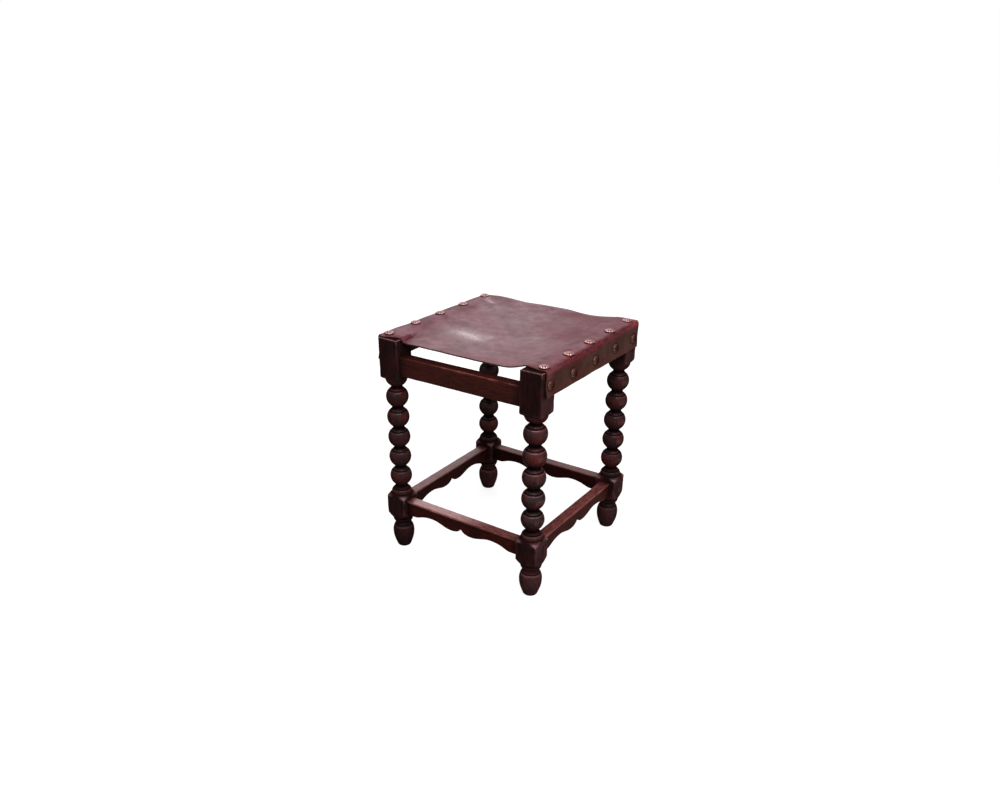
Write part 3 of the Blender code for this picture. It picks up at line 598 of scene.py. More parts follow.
def leg_marks(kind, on_block, level, radius, place, arris, outer, front, seed, handled, foot_dirt_and_shade,
              front_darkening):
    """Wear with painted highlights, grime with painted shade, and polish at a point of a leg, which can lie
    on its outer side or its front.
    """
    near_top = smooth(level, 448.3, 449.5)
    near_low_top = arris * tent(level, 118.0, 4.0)
    rubbed = arris ** 2 * (0.06 + 0.6 * max(0.0, ripple(place, 11.0, seed + 4))) if on_block else 0.0
    on_upper_block = level > 300.0
    # Low down on the upper block the arrises have kept their dark wax
    if on_upper_block:
        rubbed *= 0.2 + 0.8 * smooth(level, 414.0, 440.0)
    rubbed += arris * 1.1 * tent(level, BLOCK_TOP, 9.0) + 1.5 * near_low_top
    # Sitters' hands and legs rub the outer sides of the blocks; above the hem of the hide's drop they are
    # left dark as its painted shadow
    if on_block and outer:
        clear_of_drop_shadow = 1 - smooth(level, 400.0, 411.0)
        rubbed = max(rubbed, clear_of_drop_shadow * (0.24 + 0.20 * ripple(place, 16.0, seed + 6)))
    # The lips under the scribed rings are rubbed too, and painted paler still as a highlight
    lip = max(tent(level, scribe - 2.1, 1.2) for scribe in SCRIBES)
    on_foot = 1 - smooth(level, 49.0, 53.0)
    lip_wear_and_highlight = (0.65 - 0.35 * on_foot) * lip * handled ** 2
    # The corners of the lower block slope up to the turned work and catch the light: their pale colour is a
    # painted highlight
    tip = smooth(radius, 23.0, 27.5) * smooth(level, 116.0, 118.5) if kind == "cross" and level < 130 else 0.0
    # The pale top arrises of the blocks and the corners at the top of the lower block are partly painted
    # highlights
    wear_and_painted_light = max(rubbed, 1.8 * near_top, lip_wear_and_highlight, 1.3 * tip, 0.16 * on_foot)

    # The upper side of each swelling is rubbed smooth and its underside left dull
    above = level - min(SWELLINGS, key=lambda centre: abs(centre - level))
    dirt_and_shade = 0.0
    if kind == "turned":
        belly = smooth(radius, 15.0, 21.4) * (0.10 + 0.45 * smooth(above, -1.0, 11.0)) * handled
        belly *= 1 - 0.65 * on_foot
        cap = 0.34 * smooth(above, 14.0, 15.5) * smooth(radius, 11.0, 15.0)
        polish = max(belly, cap, lip * handled)
        # Dirt and painted shade darken the necks, most under the swellings, and the rings and grooves
        if level >= 45:
            neck_floor = 16.0 if level > 100 else 18.0
            dirt_and_shade = 1 - smooth(radius, 10.5, neck_floor + (0.0 if above > 0 else 2.0))
        lines = SCRIBES + tuple(centre for centre, _ in GROOVES)
        dirt_and_shade = max(dirt_and_shade, min(1.0, 1.5 * max(tent(level - line, 0.2, 1.5) for line in lines)))
    elif kind == "cross":
        polish = 0.04 + 0.96 * max(0.7 * near_low_top, tip)
        # The pommels darken where they meet the turned work, with painted shade and dirt
        dirt_and_shade = 0.5 * (1 - smooth(radius, 21.0, 24.0))
    else:
        polish = max(0.05 * arris ** 2, 0.7 * near_top, 0.7 * near_low_top)
        # The front of the top block is darkened away from its arrises
        if on_upper_block and front:
            dirt_and_shade = front_darkening * (1 - arris)
    # Low on the foot it is darkened by dirt and painted shade
    return wear_and_painted_light, max(dirt_and_shade, foot_dirt_and_shade * (1 - smooth(level, 62.0, 68.0))), polish


def make_leg(name, seed, material, side, handled, lean, low_shoulder, foot_dirt_and_shade, front_darkening):
    """Turn one leg: a ring of points at each level, each point at the lesser of stock and turning."""
    columns = section_columns()
    count = len(columns)
    verts, marks = [], {kind: [] for kind in WOOD_MARKS}

    def tilt(x):
        """Extra height of the top at a place across it."""
        return lean * (0.5 - 0.5 * x / HALF_STOCK)

    def ring(kind, level_of):
        """Add one ring, whose level may differ from column to column."""
        for x, y, arris in columns:
            stock = math.hypot(x, y) / MM
            level = level_of(stock)
            if kind == "block":
                radius = stock * (1 - 1.1 * tent(level, BLOCK_TOP, 1.3) ** 2 / (HALF_STOCK / MM))
            elif kind == "cross":
                radius = soft_min(stock, turned_radius(level), 0.7)
            else:
                radius = min(stock, turned_radius(level))
            on_block = kind == "block" or radius > 21.7
            place = (x * 900 + side[0] * 50, y * 900 + side[1] * 70, level)
            if on_block:
                # Arrises are knocked and rubbed unevenly
                radius -= arris * (0.12 + 0.8 * max(0.0, ripple(place, 9.0, seed)))
            radius += 0.10 * ripple((0.0, 0.0, level), 16.0, seed + 1) + 0.05 * ripple(place, 14.0, seed + 2)
            scale = radius / stock
            raised = tilt(x) * smooth(level, 425.0, 450.0)
            raised -= low_shoulder * smooth(level, 353.0, 361.0) * (1 - smooth(level, 378.0, 400.0))
            verts.append((x * scale, y * scale, level * MM + raised))
            outer, front = x * side[0] > 0.99 * HALF_STOCK, y * side[1] > 0.99 * HALF_STOCK
            note(marks, *leg_marks(kind, on_block, level, radius, place, arris, outer, front, seed, handled,
                                   foot_dirt_and_shade, front_darkening))

    def level_rings(kind, levels):
        for level in levels:
            ring(kind, lambda stock: level)

    def cross(curve, step=1):
        """Rings through a pommel, from its flat faces to the turned work, or back with a step of -1."""
        flat_level, turned_level = curve[0][0], curve[-1][0]
        for end, share in ((flat_level, 1.0), (flat_level, 0.45), (flat_level, 0.12), (flat_level, 0.0),
                           (turned_level, 0.10), (turned_level, 0.35), (turned_level, 0.65),
                           (turned_level, 0.9))[::step]:
            def level_of(stock):
                at = crossing(curve, stock)
                return at + (end - at) * share
            ring("cross", level_of)

    upper, lower = turned_levels()
    level_rings("block", BLOCK_RINGS)
    cross(SHOULDER_CURVE)
    level_rings("turned", upper)
    cross(UPPER_POMMEL_CURVE, -1)
    level_rings("block", LOW_BLOCK_RINGS)
    cross(LOWER_POMMEL_CURVE)
    level_rings("turned", lower)

    starts = range(0, len(verts), count)
    faces = []
    for start in starts[:-1]:
        faces += join_rings(range(start, start + count), range(start + count, start + 2 * count))
    # The ends: two rings inside the last one, and a fan to the middle
    for start, level, order in ((0, LEG_HEIGHT, 1), (starts[-1], 0.0, -1)):
        outer = start
        for share in (0.93, 0.5, 0.0):
            inner = len(verts)
            for i in range(count if share else 1):
                x, y = (value * share for value in verts[start + i][:2])
                verts.append((x, y, level + (tilt(x) if level else 0.0)))
                note(marks, 0.1, 0.5, 0.05)
            for i in range(count):
                after = (i + 1) % count
                ends = (inner + after, inner + i) if share else (inner,)
                faces.append(((outer + i, outer + after) + ends)[::order])
            outer = inner

    leg = add_piece(name, verts, faces, marks, [material], sharp_from=50)
    leg.location = (side[0] * LEG_X, side[1] * LEG_Y, 0)
    return leg


# Rails and stretchers

# Corners of a board and the faces after them, in order round its section
LOWER_FRONT, UPPER_FRONT, UPPER_BACK, LOWER_BACK = range(4)
FRONT_FACE, TOP_FACE, BACK_FACE, UNDERSIDE = range(-1, -5, -1)


def board_section(x, floor, top, thickness, arrises, seed):
    """Points round a board at a place along it, as (y, z, corner or face, nearness to the arris)."""
    rounded = []
    half = thickness / 2
    corners = ((-half, floor, 1, 1), (-half, top, 1, -1), (half, top, -1, -1), (half, floor, -1, 1))
    for number, (y, z, in_y, in_z) in enumerate(corners):
        worn = arrises[number] * (1 + 0.55 * ripple((x, y * 3, z), 0.022, seed + number))
        start = (math.pi * 1.5, math.pi, math.pi / 2, 0.0)[number]
        for part in range(5):
            angle = start - part * math.pi / 8
            rounded.append((y + in_y * worn + worn * math.cos(angle),
                            z + in_z * worn + worn * math.sin(angle), number, 1 - abs(part - 2) * 0.42))
    # Points between the corners, so that the faces can wander a little
    section = []
    for i, point in enumerate(rounded):
        section.append(point)
        after = rounded[(i + 1) % len(rounded)]
        if point[2] != after[2]:
            for share in (0.08, 0.3, 0.5, 0.7, 0.92):
                y, z = (point[k] + (after[k] - point[k]) * share for k in (0, 1))
                section.append((y, z, -1 - point[2], 0.0))
    return section


def make_board(name, span, shape, arrises, seed, material, joint_shade, bowed=False, step=0.004,
               rub=lambda x: (0.0, 0.0), arris_wear_and_shade=lambda x: 0.85, inner_shade=0.0):
    """Make a board along X with rounded, worn arrises: lower front, upper front, upper back, lower back.

    Its inner face, at the back, can be darkened with painted shade more than the rest, and its underside
    and lower arrises always are. The joint distance is how far painted shade spreads in from its ends, and
    rub gives the wear and polish of its top at a place along it.
    """
    thickness, foot, top = shape
    half = span / 2 - JOINT_LINE
    count = int(2 * half / step)
    places = {round(-half + 2 * half * i / count, 6) for i in range(count + 1)}
    if bowed:
        for near in (0.0, 0.0012, 0.003, 0.005, 0.008):
            places |= {near, -near}
    verts, starts, marks = [], [], {kind: [] for kind in WOOD_MARKS}
    for x in sorted(places):
        floor = foot + (along(BOW, abs(x) / MM) * MM if bowed else 0.0)
        starts.append(len(verts))
        for y, z, part, near in board_section(x, floor, top, thickness, arrises, seed):
            push = 0.00010 * ripple((x, y, z), 0.030, seed + 9)
            verts.append((x, y + push, z + push * 0.6))
            edge = near * (0.15, arris_wear_and_shade(x), 0.45, 0.10)[part] if part >= 0 else 0.0
            worn, polished = rub(x) if part in (TOP_FACE, UPPER_FRONT, UPPER_BACK) else (0.0, 0.0)
            # Painted shade spreads in from the ends beside the legs
            joint = max(0.0, 1 - (half - abs(x)) / joint_shade)
            # The inner face, the underside and the lower arrises are darkened with painted shade
            shaded_face = inner_shade if part == BACK_FACE else 0.0
            if part in (UNDERSIDE, LOWER_FRONT, LOWER_BACK):
                shaded_face = 0.35
            note(marks, min(1.0, max(edge * (0.55 + 1.2 * ripple((x, 0.0, 0.0), 0.017, seed + 5)), worn)),
                 max(0.75 * joint, shaded_face), max(edge * 0.4, polished))
    size = starts[1]
    faces = []
    for a, b in zip(starts, starts[1:]):
        faces += [(a + i, a + (i + 1) % size, b + (i + 1) % size, b + i) for i in range(size)]
    faces += [tuple(reversed(range(size))), tuple(range(starts[-1], starts[-1] + size))]
    return add_piece(name, verts, faces, marks, [material], sharp_from=50)


def place_board(board, quarter_turns, distance):
    """Set a board across one side of the stool, its front face outwards."""
    angle = quarter_turns * math.pi / 2
    board.location = (distance * math.sin(angle), -distance * math.cos(angle), 0)
    board.rotation_euler = (0, 0, angle)


# Hide


def wood_reach(x, y):
    """Distance from a place in plan to the nearest wood that holds the hide up, in metres."""
    ax, ay = abs(x), abs(y)
    to_rail = max(0.0, LEG_X + HALF_STOCK - SIDE_RAIL_SETBACK - SIDE_RAIL[0] - ax)
    to_leg = math.hypot(max(0.0, LEG_X - HALF_STOCK - ax), max(0.0, LEG_Y - HALF_STOCK - ay))
    return min(to_rail, to_leg)


def hide_fall(x, y, share):
    """How far the hide's top lies below its level on the rails, in metres."""
    # The step down off the front left block is sharp at the front edge and spreads out behind it
    spread = 14 * smooth(y, -0.150, -0.105) if x < -0.090 else 0.0
    parts = (-1, -0.5, 0, 0.5, 1) if spread else (0,)
    front = sum(along(FRONT_FALL, x / MM + spread * part) for part in parts) / len(parts)
    middle = CENTRE_FALL * max(0.0, 1 - abs(x / 0.152) ** 2.2) * (4 * share * (1 - share)) ** 0.9
    fall = front * (1 - share) ** 2.6 + along(BACK_FALL, x / MM) * share ** 2.4 + middle
    fall += 0.55 * ripple((x, y, 0.0), 0.055, 31) + 0.22 * ripple((x, y, 0.0), 0.021, 32)
    # It falls at most 1.5 mm for each millimetre away from the wood
    limit = 1500 * wood_reach(x, y)
    return soft_min(fall, limit, 1.0) * MM


def stud_places(shifts, place_of):
    """Places of the studs in the left and the right row, some of them driven a little out of line."""
    return {side: [tuple(a + b for a, b in zip(place_of(side, row), shifts[side].get(number, (0, 0))))
                   for number, row in enumerate(STUD_ROWS)] for side in (-1, 1)}


# Top studs in plan, and side studs along and up the drop
TOP_STUDS = stud_places(TOP_SHIFTS, lambda side, row: (side * STUD_X, row))
SIDE_STUDS = stud_places(SIDE_SHIFTS, lambda side, row: (row, STUD_LEVEL))


def to_top_stud(x, y):
    """Distance in plan to the nearest stud of a top row."""
    return min(math.hypot(x - at, y - row) for at, row in TOP_STUDS[1 if x > 0 else -1])


def to_side_stud(side, y, z):
    """Distance on a drop to the nearest stud of its row."""
    return min(math.hypot(y - row, z - level) for row, level in SIDE_STUDS[side])


def skived(inset, x):
    """Thickness pared off the hide at a distance in from its edge, most along its left side."""
    return (0.0009 + 0.0007 * smooth(-x, 0.120, 0.140)) * (1 - smooth(inset, 0.0005, 0.007))


def hide_edges(across_share, drop):
    """Front and back ends of the hide at a place across it."""
    corner = smooth(abs(across_share), 0.72, 1.0)
    # The left corner reaches 3 mm further forwards
    reach = HIDE_FRONT_CORNER - (0.0030 if across_share < 0 else 0.0)
    front = HIDE_FRONT + (reach - HIDE_FRONT) * max(corner, smooth(drop, 0.0, 0.2))
    front += 0.0007 * ripple((across_share * 3, drop, 0.0), 0.5, 41)
    # Beside the front left stud it has stretched forwards
    front -= 0.0042 * smooth(-across_share, 0.83, 0.95) * (1 - smooth(-across_share, 0.972, 1.0))
    back = HIDE_BACK + 0.0008 * ripple((across_share * 3, drop, 0.0), 0.5, 42) - 0.0010 * corner
    return front, back


def corner_lift(x, y):
    """Lift of the hide where it lies on the block that stands proud, in metres."""
    over = min(1.15, max(0.0, (-x - LEG_X + HALF_STOCK) / (2 * HALF_STOCK)))
    return PROUD_CORNER * over * (1 - smooth(y, -0.134, -0.090))


def hide_point(station, share):
    """Point on the outer face of the hide. A station is (side, part, amount) across the stool."""
    side, part, amount = station
    top_half = HIDE_OUTER_X - HIDE_BEND
    if part == "top":
        x = amount
        front, back = hide_edges(x / top_half, 0.0)
        y = front + (back - front) * share
        z = HIDE_TOP - hide_fall(x, y, share) - skived(min(y - front, back - y), x) + corner_lift(x, y)
        z += smooth(abs(x), 0.150, 0.160) * 0.0007 * (1 - hill(to_top_stud(x, y), 0.0, 0.018))
        return Vector((x, y, z - 0.0005 * hill(to_top_stud(x, y), PRESSED_RADIUS, PRESSED_WIDTH)))
    front, back = hide_edges(float(side), amount if part == "drop" else 0.0)
    y = front + (back - front) * share
    lift = corner_lift(side * HIDE_OUTER_X, y)
    # Between the studs the hide stands off a little
    free = 1 - hill(to_top_stud(STUD_X, y), 0.0, 0.022)
    if part == "bend":
        angle = amount * math.pi / 2
        bulge = 0.0007 * free
        x = top_half + (HIDE_BEND + bulge) * math.sin(angle)
        z = HIDE_TOP - HIDE_BEND + (HIDE_BEND + bulge) * math.cos(angle) + lift
        return Vector((side * x, y, z))
    hem = HIDE_HEM_FRONT + (HIDE_HEM_BACK - HIDE_HEM_FRONT) * share
    hem += 0.0006 * ripple((y, side, 0.0), 0.05, 43 + side)
    z = HIDE_TOP - HIDE_BEND - (HIDE_TOP - HIDE_BEND - hem) * amount + lift * (1 - amount)
    near_stud = to_side_stud(side, y, z)
    below = smooth(STUD_LEVEL - z, 0.0, 0.017)
    clear = 1 - hill(near_stud, 0.0, 0.016)
    bulge = 0.0007 * free * (1 - smooth(amount, 0.0, 0.3)) + 0.0006 * clear + 0.0011 * below * clear
    bulge += 0.0006 * below * ripple((y, side, 0.0), 0.035, 47 + side)
    bulge -= 0.0004 * hill(near_stud, PRESSED_RADIUS, PRESSED_WIDTH)
    # The lower front corner has curled away from the leg
    bulge += 0.0022 * smooth(0.016 - (y - front), 0.0, 0.016) * smooth(amount, 0.62, 1.0)
    return Vector((side * (HIDE_OUTER_X + bulge), y, z))


def patches(table, x, y):
    """Strength of a table of soft oval patches at a place, at most 1."""
    total = 0
    for strength, centre, size, turn in table:
        dx, dy = x - centre[0], y - centre[1]
        c, s = math.cos(turn), math.sin(turn)
        total += strength * math.exp(-((dx * c + dy * s) / size[0]) ** 2 - ((dy * c - dx * s) / size[1]) ** 2)
    return min(1.0, total)


def hide_marks(point, side, part, amount, edge):
    """How worn, dark or stained the hide's outer face is at a point."""
    x, y = point.x, point.y
    marks = dict.fromkeys(HIDE_MARKS, 0.0)
    bend_length = HIDE_BEND * math.pi / 2
    drop_length = HIDE_TOP - HIDE_BEND - HIDE_HEM_FRONT
    # Way round the hide from the line where the top starts to bend, outwards and down
    way = {"top": abs(x) - (HIDE_OUTER_X - HIDE_BEND), "bend": amount * bend_length,
           "drop": bend_length + amount * drop_length}[part]
    reach = along(RUBBED_REACH, y / MM) * MM
    marks["rub"] = smooth(way, -0.0070, 0.0010) * (1 - smooth(way, reach - 0.008, reach + 0.002))
    marks["rub"] *= (0.34 + 0.66 * smooth(y, -0.164, -0.085)) * (1 - 0.15 * smooth(way, 0.007, 0.011))
    marks["drop"] = smooth(way, 0.0060, 0.0120)
    # Towards the back the bend is brighter, where it shows at the right
    marks["flush"] = 0.8 * smooth(y, 0.115, 0.165)
    # At the front its corner has been handled until the red ground shows through
    marks["warm"] = (1 - smooth(y, -0.162, -0.142)) * smooth(way, 0.0, 0.005)
    marks["warm"] *= 1 - smooth(way, 0.020, 0.036)
    hem = edge if part != "drop" else min(edge, (1 - amount) * drop_length)
    marks["rim"] = max(0.0, 1 - hem / 0.0013)
    nearest = to_side_stud(side, y, point.z) if part == "drop" else to_top_stud(x, y)
    # A ring round each stud is painted shade where its rim stands over the hide
    marks["smudge_and_rim_shade"] = 0.8 * hill(nearest, 0.0108, PRESSED_WIDTH)
    if part == "drop":
        marks["dull"] = 1.0
        # Below the studs more of the red ground shows
        marks["flush"] = max(marks["flush"] * (1 - smooth(amount, 0.2, 0.4)), 0.8 * smooth(amount, 0.45, 0.9))
    elif part == "bend":
        marks["dull"] = 0.9
    else:
        line = along(TEAR, y / MM) * MM
        # The crack's dark line runs along the foot of the step off the block, where it is partly painted
        # shade
        marks["crack_and_step_shade"] = hill(x, line, 0.0013) * (1 - smooth(y, -0.132, -0.118))
        marks["crack_and_step_shade"] *= 0.35 + 0.65 * smooth(y, -0.163, -0.150)
        bared = patches(BARED, x, y)
        marks["rub"] = max(marks["rub"], bared)
        # Scuffs carry painted highlights, and the grey patches are painted sheen
        marks["scuff_and_glint"] = patches(SCUFFS_AND_GLINTS, x, y)
        marks["grey_sheen"] = patches(GREY_SHEENS, x, y)
        marks["flush"] = min(1.0, patches(FLUSHES, x, y) + 0.35 * smooth(x, 0.02, 0.11)
                             + 0.30 * (1 - smooth(y, -0.163, -0.130)))
        marks["smudge_and_rim_shade"] = min(1.0, marks["smudge_and_rim_shade"] + patches(SMUDGES, x, y))
        # The wax has lost its sheen at the right and beside the studs
        marks["dull"] = max(
            0.9 * smooth(x, 0.045, 0.105) * smooth(y, -0.035, 0.030), 0.9 * smooth(x, 0.116, 0.150),
            0.8 * smooth(-x, 0.120, 0.148), 0.6 * smooth(x, 0.0, 0.06) * smooth(y, 0.120, 0.150), 0.5 * bared)
    return marks


def hide_stations():
    """Places across the hide from hem to hem, closest together where it bends and under the studs."""
    drops = (1.0, 0.985, 0.955, 0.92, 0.88, 0.84, 0.80, 0.75, 0.70, 0.65, 0.60, 0.55, 0.50, 0.45, 0.40, 0.35,
             0.30, 0.26, 0.22, 0.18, 0.14, 0.10, 0.06, 0.02)
    sides = [("drop", amount) for amount in drops]
    sides += [("bend", amount) for amount in (1.0, 0.86, 0.72, 0.58, 0.44, 0.30, 0.15, 0.0)]
    spacing, close, wide = 0.0014, 40, 70
    half = HIDE_OUTER_X - HIDE_BEND
    ends = [half - spacing * i for i in range(1, close)]
    inner = ends[-1] - spacing
    tops = [-x for x in ends] + [inner * (2 * i / wide - 1) for i in range(wide + 1)] + ends[::-1]
    return ([(-1, part, amount) for part, amount in sides] + [(0, "top", x) for x in tops]
            + [(1, part, amount) for part, amount in reversed(sides)])


def make_hide(outer_finish, inner_finish):
    """Make the sling: an outer and an inner face, with burnished edges between them.

    It gives the hide, and its length from hem to hem along the middle.
    """
    across = hide_stations()
    nu, nv = len(across), HIDE_ROWS
    grid = [[hide_point(station, j / (nv - 1)) for j in range(nv)] for station in across]

    # Distance round the hide from its middle, which places the markings on the flat sheet
    middle = nu // 2
    steps = [(grid[i + 1][nv // 2] - grid[i][nv // 2]).length for i in range(nu - 1)]
    flat_u = [0.0] * nu
    for i in range(middle + 1, nu):
        flat_u[i] = flat_u[i - 1] + steps[i - 1]
    for i in range(middle - 1, -1, -1):
        flat_u[i] = flat_u[i + 1] - steps[i]

    verts, normals, pared = [], [], []
    marks = {kind: [] for kind in HIDE_MARKS + ("flat_place",)}
    for i in range(nu):
        for j in range(nv):
            point = grid[i][j]
            du = grid[min(nu - 1, i + 1)][j] - grid[max(0, i - 1)][j]
            dv = grid[i][min(nv - 1, j + 1)] - grid[i][max(0, j - 1)]
            normal = du.cross(dv).normalized()
            edge = min(j, nv - 1 - j) * (HIDE_BACK - HIDE_FRONT) / (nv - 1)
            here = hide_marks(point, *across[i], edge)
            # The tear over the leg is a shallow crack in the grain side
            verts.append(point - normal * 0.0008 * here["crack_and_step_shade"])
            normals.append(normal)
            pared.append(skived(edge, point.x))
            note(marks, *here.values(), (flat_u[i], point.y, 0.0))

    def index(i, j):
        return i * nv + j

    def copy_marks(source, rim):
        """Give a new point the place and sheen of an old one, and its own share of the rim."""
        for name, values in marks.items():
            values.append(values[source] if name in ("flat_place", "dull") else rim if name == "rim" else 0.0)

    total = nu * nv
    for k in range(total):
        verts.append(verts[k] - normals[k] * (HIDE_THICKNESS - pared[k]))
        copy_marks(k, 0.0)
    faces, slots = [], []
    for i in range(nu - 1):
        for j in range(nv - 1):
            quad = (index(i, j), index(i + 1, j), index(i + 1, j + 1), index(i, j + 1))
            faces += [quad, tuple(total + k for k in reversed(quad))]
            slots += [0, 1]

    # Rounded edge all round, through three lines of points
    border = [index(i, 0) for i in range(nu)] + [index(nu - 1, j) for j in range(1, nv)]
    border += [index(i, nv - 1) for i in range(nu - 2, -1, -1)] + [index(0, j) for j in range(nv - 2, 0, -1)]
    lines = [border]
    for depth, out in ((0.16, 0.00055), (0.5, 0.0010), (0.84, 0.00055)):
        lines.append(range(len(verts), len(verts) + len(border)))
        for n, here in enumerate(border):
            run = (verts[border[(n + 1) % len(border)]] - verts[border[n - 1]]).normalized()
            outward = run.cross(normals[here]).normalized()
            verts.append(verts[here] - normals[here] * (HIDE_THICKNESS - pared[here]) * depth + outward * out)
            copy_marks(here, 1.0)
    lines.append([total + k for k in border])
    for upper, lower in zip(lines, lines[1:]):
        faces += join_rings(upper, lower)
        slots += [0] * len(border)
    hide = add_piece("sling_hide", verts, faces, marks, [outer_finish, inner_finish], slots)
    return hide, flat_u[-1] - flat_u[0]


# Studs


def make_stud(name, seed, material, tones):
    """Press one rosette: a low dome of eight lobes round a plain middle, on a nail, in millimetres.

    Tones are how bright its face is, how much darker its hollows are, and how much brighter its skirt
    is as a painted highlight, or darker as painted shade where that is below 0. Its outer lobes are
    painted paler as a highlight.
    """
    face, depth, rim = tones
    turned = random.Random(seed).uniform(0, math.pi / 4)
    around = 96
    verts, faces, marks = [], [], {"wear_and_painted_light": []}

    def circle(radius_of, height_of, wear_of):
        """Add one ring of points, and give its numbers."""
        for step in range(around):
            angle = 2 * math.pi * step / around
            lobe = abs(math.cos(4 * (angle - turned)))
            out = radius_of(lobe)
            verts.append(Vector((out * math.cos(angle) * MM, out * math.sin(angle) * MM,
                                 height_of(lobe) * MM)))
            note(marks, wear_of(lobe))
        return range(len(verts) - around, len(verts))

    rings = []
    for radius in (0.8, 1.5, 2.2, 2.8, 3.4, 4.1, 4.8, 5.5, 6.2, 6.8, 7.4, 7.9, 8.4, 8.8, 9.2, 9.5, 9.8, 9.95):
        dome = 0.9 + 3.8 * max(0.0, 1 - (radius / 9.9) ** 2.4) ** 0.72
        on_lobes = smooth(radius, 2.6, 4.6) * (1 - 0.5 * smooth(radius, 8.4, 9.7))
        ditch = -0.30 * hill(radius, 2.9, 0.5)
        # The skirt turns down to the hide
        turned_down = (9.95 - radius) / 0.35 if radius > 9.6 else 1.0

        def relief(lobe):
            return (0.85 * lobe ** 0.6 - 0.66) * on_lobes

        # The outer lobes are painted paler as a highlight, and the skirt is painted by its tone, as shade
        # below 0 and as a highlight above
        rings.append(circle(
            lambda lobe: radius * (1 + 0.035 * (lobe ** 0.6 - 0.6) * smooth(radius, 6.5, 9.0)),
            lambda lobe: max(0.0, turned_down * (dome + relief(lobe) + ditch)),
            lambda lobe: min(1.0, max(0.0, face + depth * (relief(lobe) + ditch)
                                      + 0.45 * smooth(radius, 5.5, 8.3) + rim * smooth(radius, 9.0, 9.6)))))
    for upper, lower in zip(rings, rings[1:]):
        faces += join_rings(upper, lower)
    crown = len(verts)
    verts.append(Vector((0, 0, 4.7 * MM)))
    note(marks, 0.5)
    faces += [(i, (i + 1) % around, crown) for i in range(around)]
    # Underside and nail
    last = rings[-1]
    for radius, level in ((9.7, 0.0), (1.4, 0.0), (1.4, -10.0), (0.35, -13.0)):
        ring = circle(lambda lobe: radius, lambda lobe: level, lambda lobe: 0.0)
        faces += join_rings(last, ring)
        last = ring
    tip = len(verts)
    verts.append(Vector((0, 0, -13.0 * MM)))
    note(marks, 0.0)
    faces += [((i + 1) % around + last[0], i + last[0], tip) for i in range(around)]
    return add_piece(name, verts, faces, marks, [material])


# The stool

turned_oak = waxed_oak("turned_waxed_oak", 2, "#181010", "#291818", "#4f1c1a", "#7e5a5a", (0.19, 0.28),
                       (0.005, 0.52), fades=(0.11, 0.42))
seat_rail_oak = waxed_oak("planed_rail_oak", 0, "#230e0e", "#3a1913", "#4a1d1a", "#a85e58", (0.34, 0.46),
                          (0.03, 0.15))
side_rail_oak = waxed_oak("hidden_rail_oak", 0, "#1a0e0b", "#2e1a14", "#3a2018", "#5d3c32", (0.45, 0.60),
                          (0.02, 0.10))
stretcher_oak = waxed_oak("rubbed_stretcher_oak", 0, "#210f0e", "#371611", "#521b17", "#bd6a66", (0.27, 0.40),
                          (0.005, 0.60))
hide_outer = oxblood_hide()
hide_inner = flesh_side()
top_copper = pressed_copper("polished_pressed_copper", "#a38280", "#765856", "#341716", (0.20, 0.30),
                            "#cbbfbf")
# The side studs are the same copper, rougher and painted darker as shade
shaded_side_copper = pressed_copper("side_copper_painted_dark", "#563d39", "#442e28", "#331f1b", (0.30, 0.46),
                             "#8a7a78")

for number, (node, traits) in enumerate(LEGS.items()):
    seat(make_leg("turned_" + node, 3 + 5 * number, turned_oak, *traits), node)

span_x = 2 * (LEG_X - HALF_STOCK)
span_y = 2 * (LEG_Y - HALF_STOCK)
seat_rail_distance = LEG_Y + HALF_STOCK - SEAT_RAIL_SETBACK - SEAT_RAIL[0] / 2
side_rail_distance = LEG_X + HALF_STOCK - SIDE_RAIL_SETBACK - SIDE_RAIL[0] / 2
# On the rails the darkening by the legs is painted shade of the hide and the legs, and the upper front arris
# is painted darker towards its left end seen from outside, in the hide's shade
for node, turns, distance, span, shape, finish, slot, seed in (
        ("seat_rail_front", 0, seat_rail_distance, span_x, SEAT_RAIL, seat_rail_oak, "seat_rail_oak", 61),
        ("seat_rail_back", 2, seat_rail_distance, span_x, SEAT_RAIL, seat_rail_oak, "seat_rail_oak", 71),
        ("side_rail_right", 1, side_rail_distance, span_y, SIDE_RAIL, side_rail_oak, "side_rail_oak", 81),
        ("side_rail_left", 3, side_rail_distance, span_y, SIDE_RAIL, side_rail_oak, "side_rail_oak", 91)):
    board = make_board("worn_" + node, span, shape, (0.0010, 0.0016, 0.0010, 0.0008), seed, finish, 0.022,
                       arris_wear_and_shade=lambda x: 0.5 + 1.2 * smooth(x, -0.09, 0.02))
    place_board(board, turns, distance)
    seat(board, node)

# Feet have worn and polished the stretchers' tops, most of all the front one's left half, and their pale worn
# colour is partly painted sheen
for node, turns, distance, span, seed, inner_shade, rub in (
        ("stretcher_front", 0, LEG_Y, span_x, 101, 0.0,
         lambda x: (0.50 + 0.45 * (1 - smooth(x, -0.06, 0.06)), 0.03 + 0.97 * (1 - smooth(x, -0.04, 0.07)))),
        ("stretcher_right", 1, LEG_X, span_y, 111, 0.0, lambda x: (0.38, 0.0)),
        ("stretcher_back", 2, LEG_Y, span_x, 121, 0.50, lambda x: (0.35, 0.17)),
        ("stretcher_left", 3, LEG_X, span_y, 131, 0.50, lambda x: (0.40, 0.38))):
    board = make_board("bowed_" + node, span, STRETCHER, (0.0006, 0.0015, 0.0012, 0.0006), seed,
                       stretcher_oak, 0.016, bowed=True, step=0.003, rub=rub, inner_shade=inner_shade)
    place_board(board, turns, distance)
    seat(board, node)

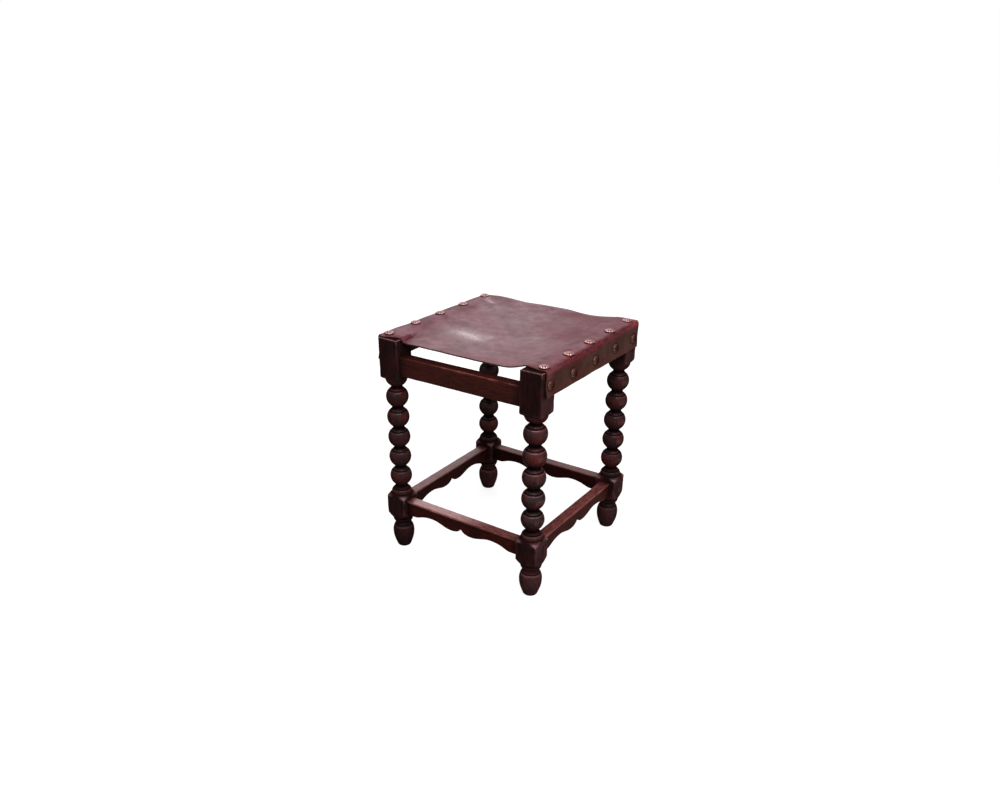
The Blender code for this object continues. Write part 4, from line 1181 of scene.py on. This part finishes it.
studs = []
stud_seat = HIDE_THICKNESS + 0.0005
for side_name, side in (("left", -1), ("right", 1)):
    for number, ((x, y), (back, level)) in enumerate(zip(TOP_STUDS[side], SIDE_STUDS[side]), 1):
        # The top studs' skirts are painted dark as shade, and the side studs' painted pale as a highlight
        top = make_stud(f"rosette_top_{side_name}_{number}", 200 + number + 10 * side, top_copper,
                        (0.55, 1.1, -1.5))
        top.location = (x, y, LEG_HEIGHT + stud_seat + corner_lift(x, y))
        seat(top, f"stud_top_{side_name}_{number}")
        flank = make_stud(f"rosette_side_{side_name}_{number}", 300 + number + 10 * side, shaded_side_copper,
                          (0.34, 1.1, 0.10))
        flank.location = (side * (LEG_X + HALF_STOCK + stud_seat), back, level)
        flank.rotation_euler = (0, side * math.pi / 2, 0)
        seat(flank, f"stud_side_{side_name}_{number}")
        studs += [top, flank]

hide, hide_width = make_hide(hide_outer, hide_inner)
seat(hide, "seat_hide")

# Floor, light and camera


def seen_directly(tree):
    """1 for the camera and for what glossy things reflect, 0 for the light that falls on the stool."""
    path = add(tree, "LightPath").node.outputs
    seen = add(tree, "Math", (path["Is Camera Ray"], path["Is Glossy Ray"]), operation="MAXIMUM")
    return add(tree, "Math", (seen, path["Is Transmission Ray"]), operation="MAXIMUM")


paper, tree = new_finish("pale_floor_paper")
matt = add(tree, "BsdfDiffuse", {"Color": "#b3b3b3"})
shade = add(tree, "BsdfDiffuse", {"Color": "#959595"})
# The paper stays white where the lamps no longer reach it
place = add(tree, "TexCoord", output="Object")
distance = add(tree, "VectorMath", (place,), output="Value", operation="LENGTH")
strength = add(tree, "MapRange", (distance, 0.5, 2.5, 0.86, 0.97))
glow = add(tree, "Emission", {"Color": "#ffffff", "Strength": strength})
white = add(tree, "AddShader", (shade, glow))
both = add(tree, "MixShader", (seen_directly(tree), matt, white))
add(tree, "OutputMaterial", {"Surface": both})
floor_mesh = bpy.data.meshes.new("floor_sheet")
floor_mesh.from_pydata([(-6, -6, 0), (6, -6, 0), (6, 6, 0), (-6, 6, 0)], [], [(0, 1, 2, 3)])
floor_mesh.materials.append(paper)
floor = add_object("floor_sheet", floor_mesh)
floor.location = (0, 0, -0.0002)

world = bpy.data.worlds.new("pale_studio")
bpy.context.scene.world = world
world.use_nodes = True
tree = world.node_tree
tree.nodes.clear()
dim = add(tree, "Background", {"Color": "#ffffff", "Strength": 0.20})
bright = add(tree, "Background", {"Color": "#ffffff", "Strength": 1.0})
both = add(tree, "MixShader", (seen_directly(tree), dim, bright))
add(tree, "OutputWorld", {"Surface": both})


def add_softbox(name, place, aim_height, size, power):
    """Hang one soft panel light, turned to a height on the stool's axis."""
    light = bpy.data.lights.new(name, "AREA")
    light.shape = "RECTANGLE"
    light.size, light.size_y = size
    light.energy = power
    panel = add_object(name, light)
    panel.location = place
    panel.rotation_euler = (Vector((0, 0, aim_height)) - Vector(place)).to_track_quat("-Z", "Y").to_euler()
    panel.visible_camera = False
    return panel


add_softbox("key_panel", (0.84, -0.84, 1.87), 0.25, (1.6, 0.22), 23)
add_softbox("front_panel", (0.79, -1.32, 1.37), 0.25, (2.6, 0.12), 8.5)
side_panel = add_softbox("side_panel", (2.10, 0.10, 0.95), 0.25, (1.4, 1.2), 19)
side_panel.visible_glossy = False
add_softbox("back_panel", (-0.95, 1.25, 1.35), 0.30, (2.0, 0.9), 16.5)
# A small panel overhead for the glints on the studs and the corners of the blocks
top_panel = add_softbox("top_panel", (0.10, -0.15, 2.10), 0.25, (0.5, 0.5), 6)
top_panel.visible_diffuse = False

camera_data = bpy.data.cameras.new("photo_camera")
camera = add_object("photo_camera", camera_data)
camera.location = (0.812615, -1.269001, 0.915219)
camera.rotation_euler = (math.radians(61.994926), math.radians(1.003136), math.radians(36.777530))
camera_data.sensor_width = 36.0
camera_data.lens = 29.43509
camera_data.shift_x = 0.051331
camera_data.shift_y = 0.086178
bpy.context.scene.camera = camera
bpy.context.scene.view_settings.view_transform = "Standard"
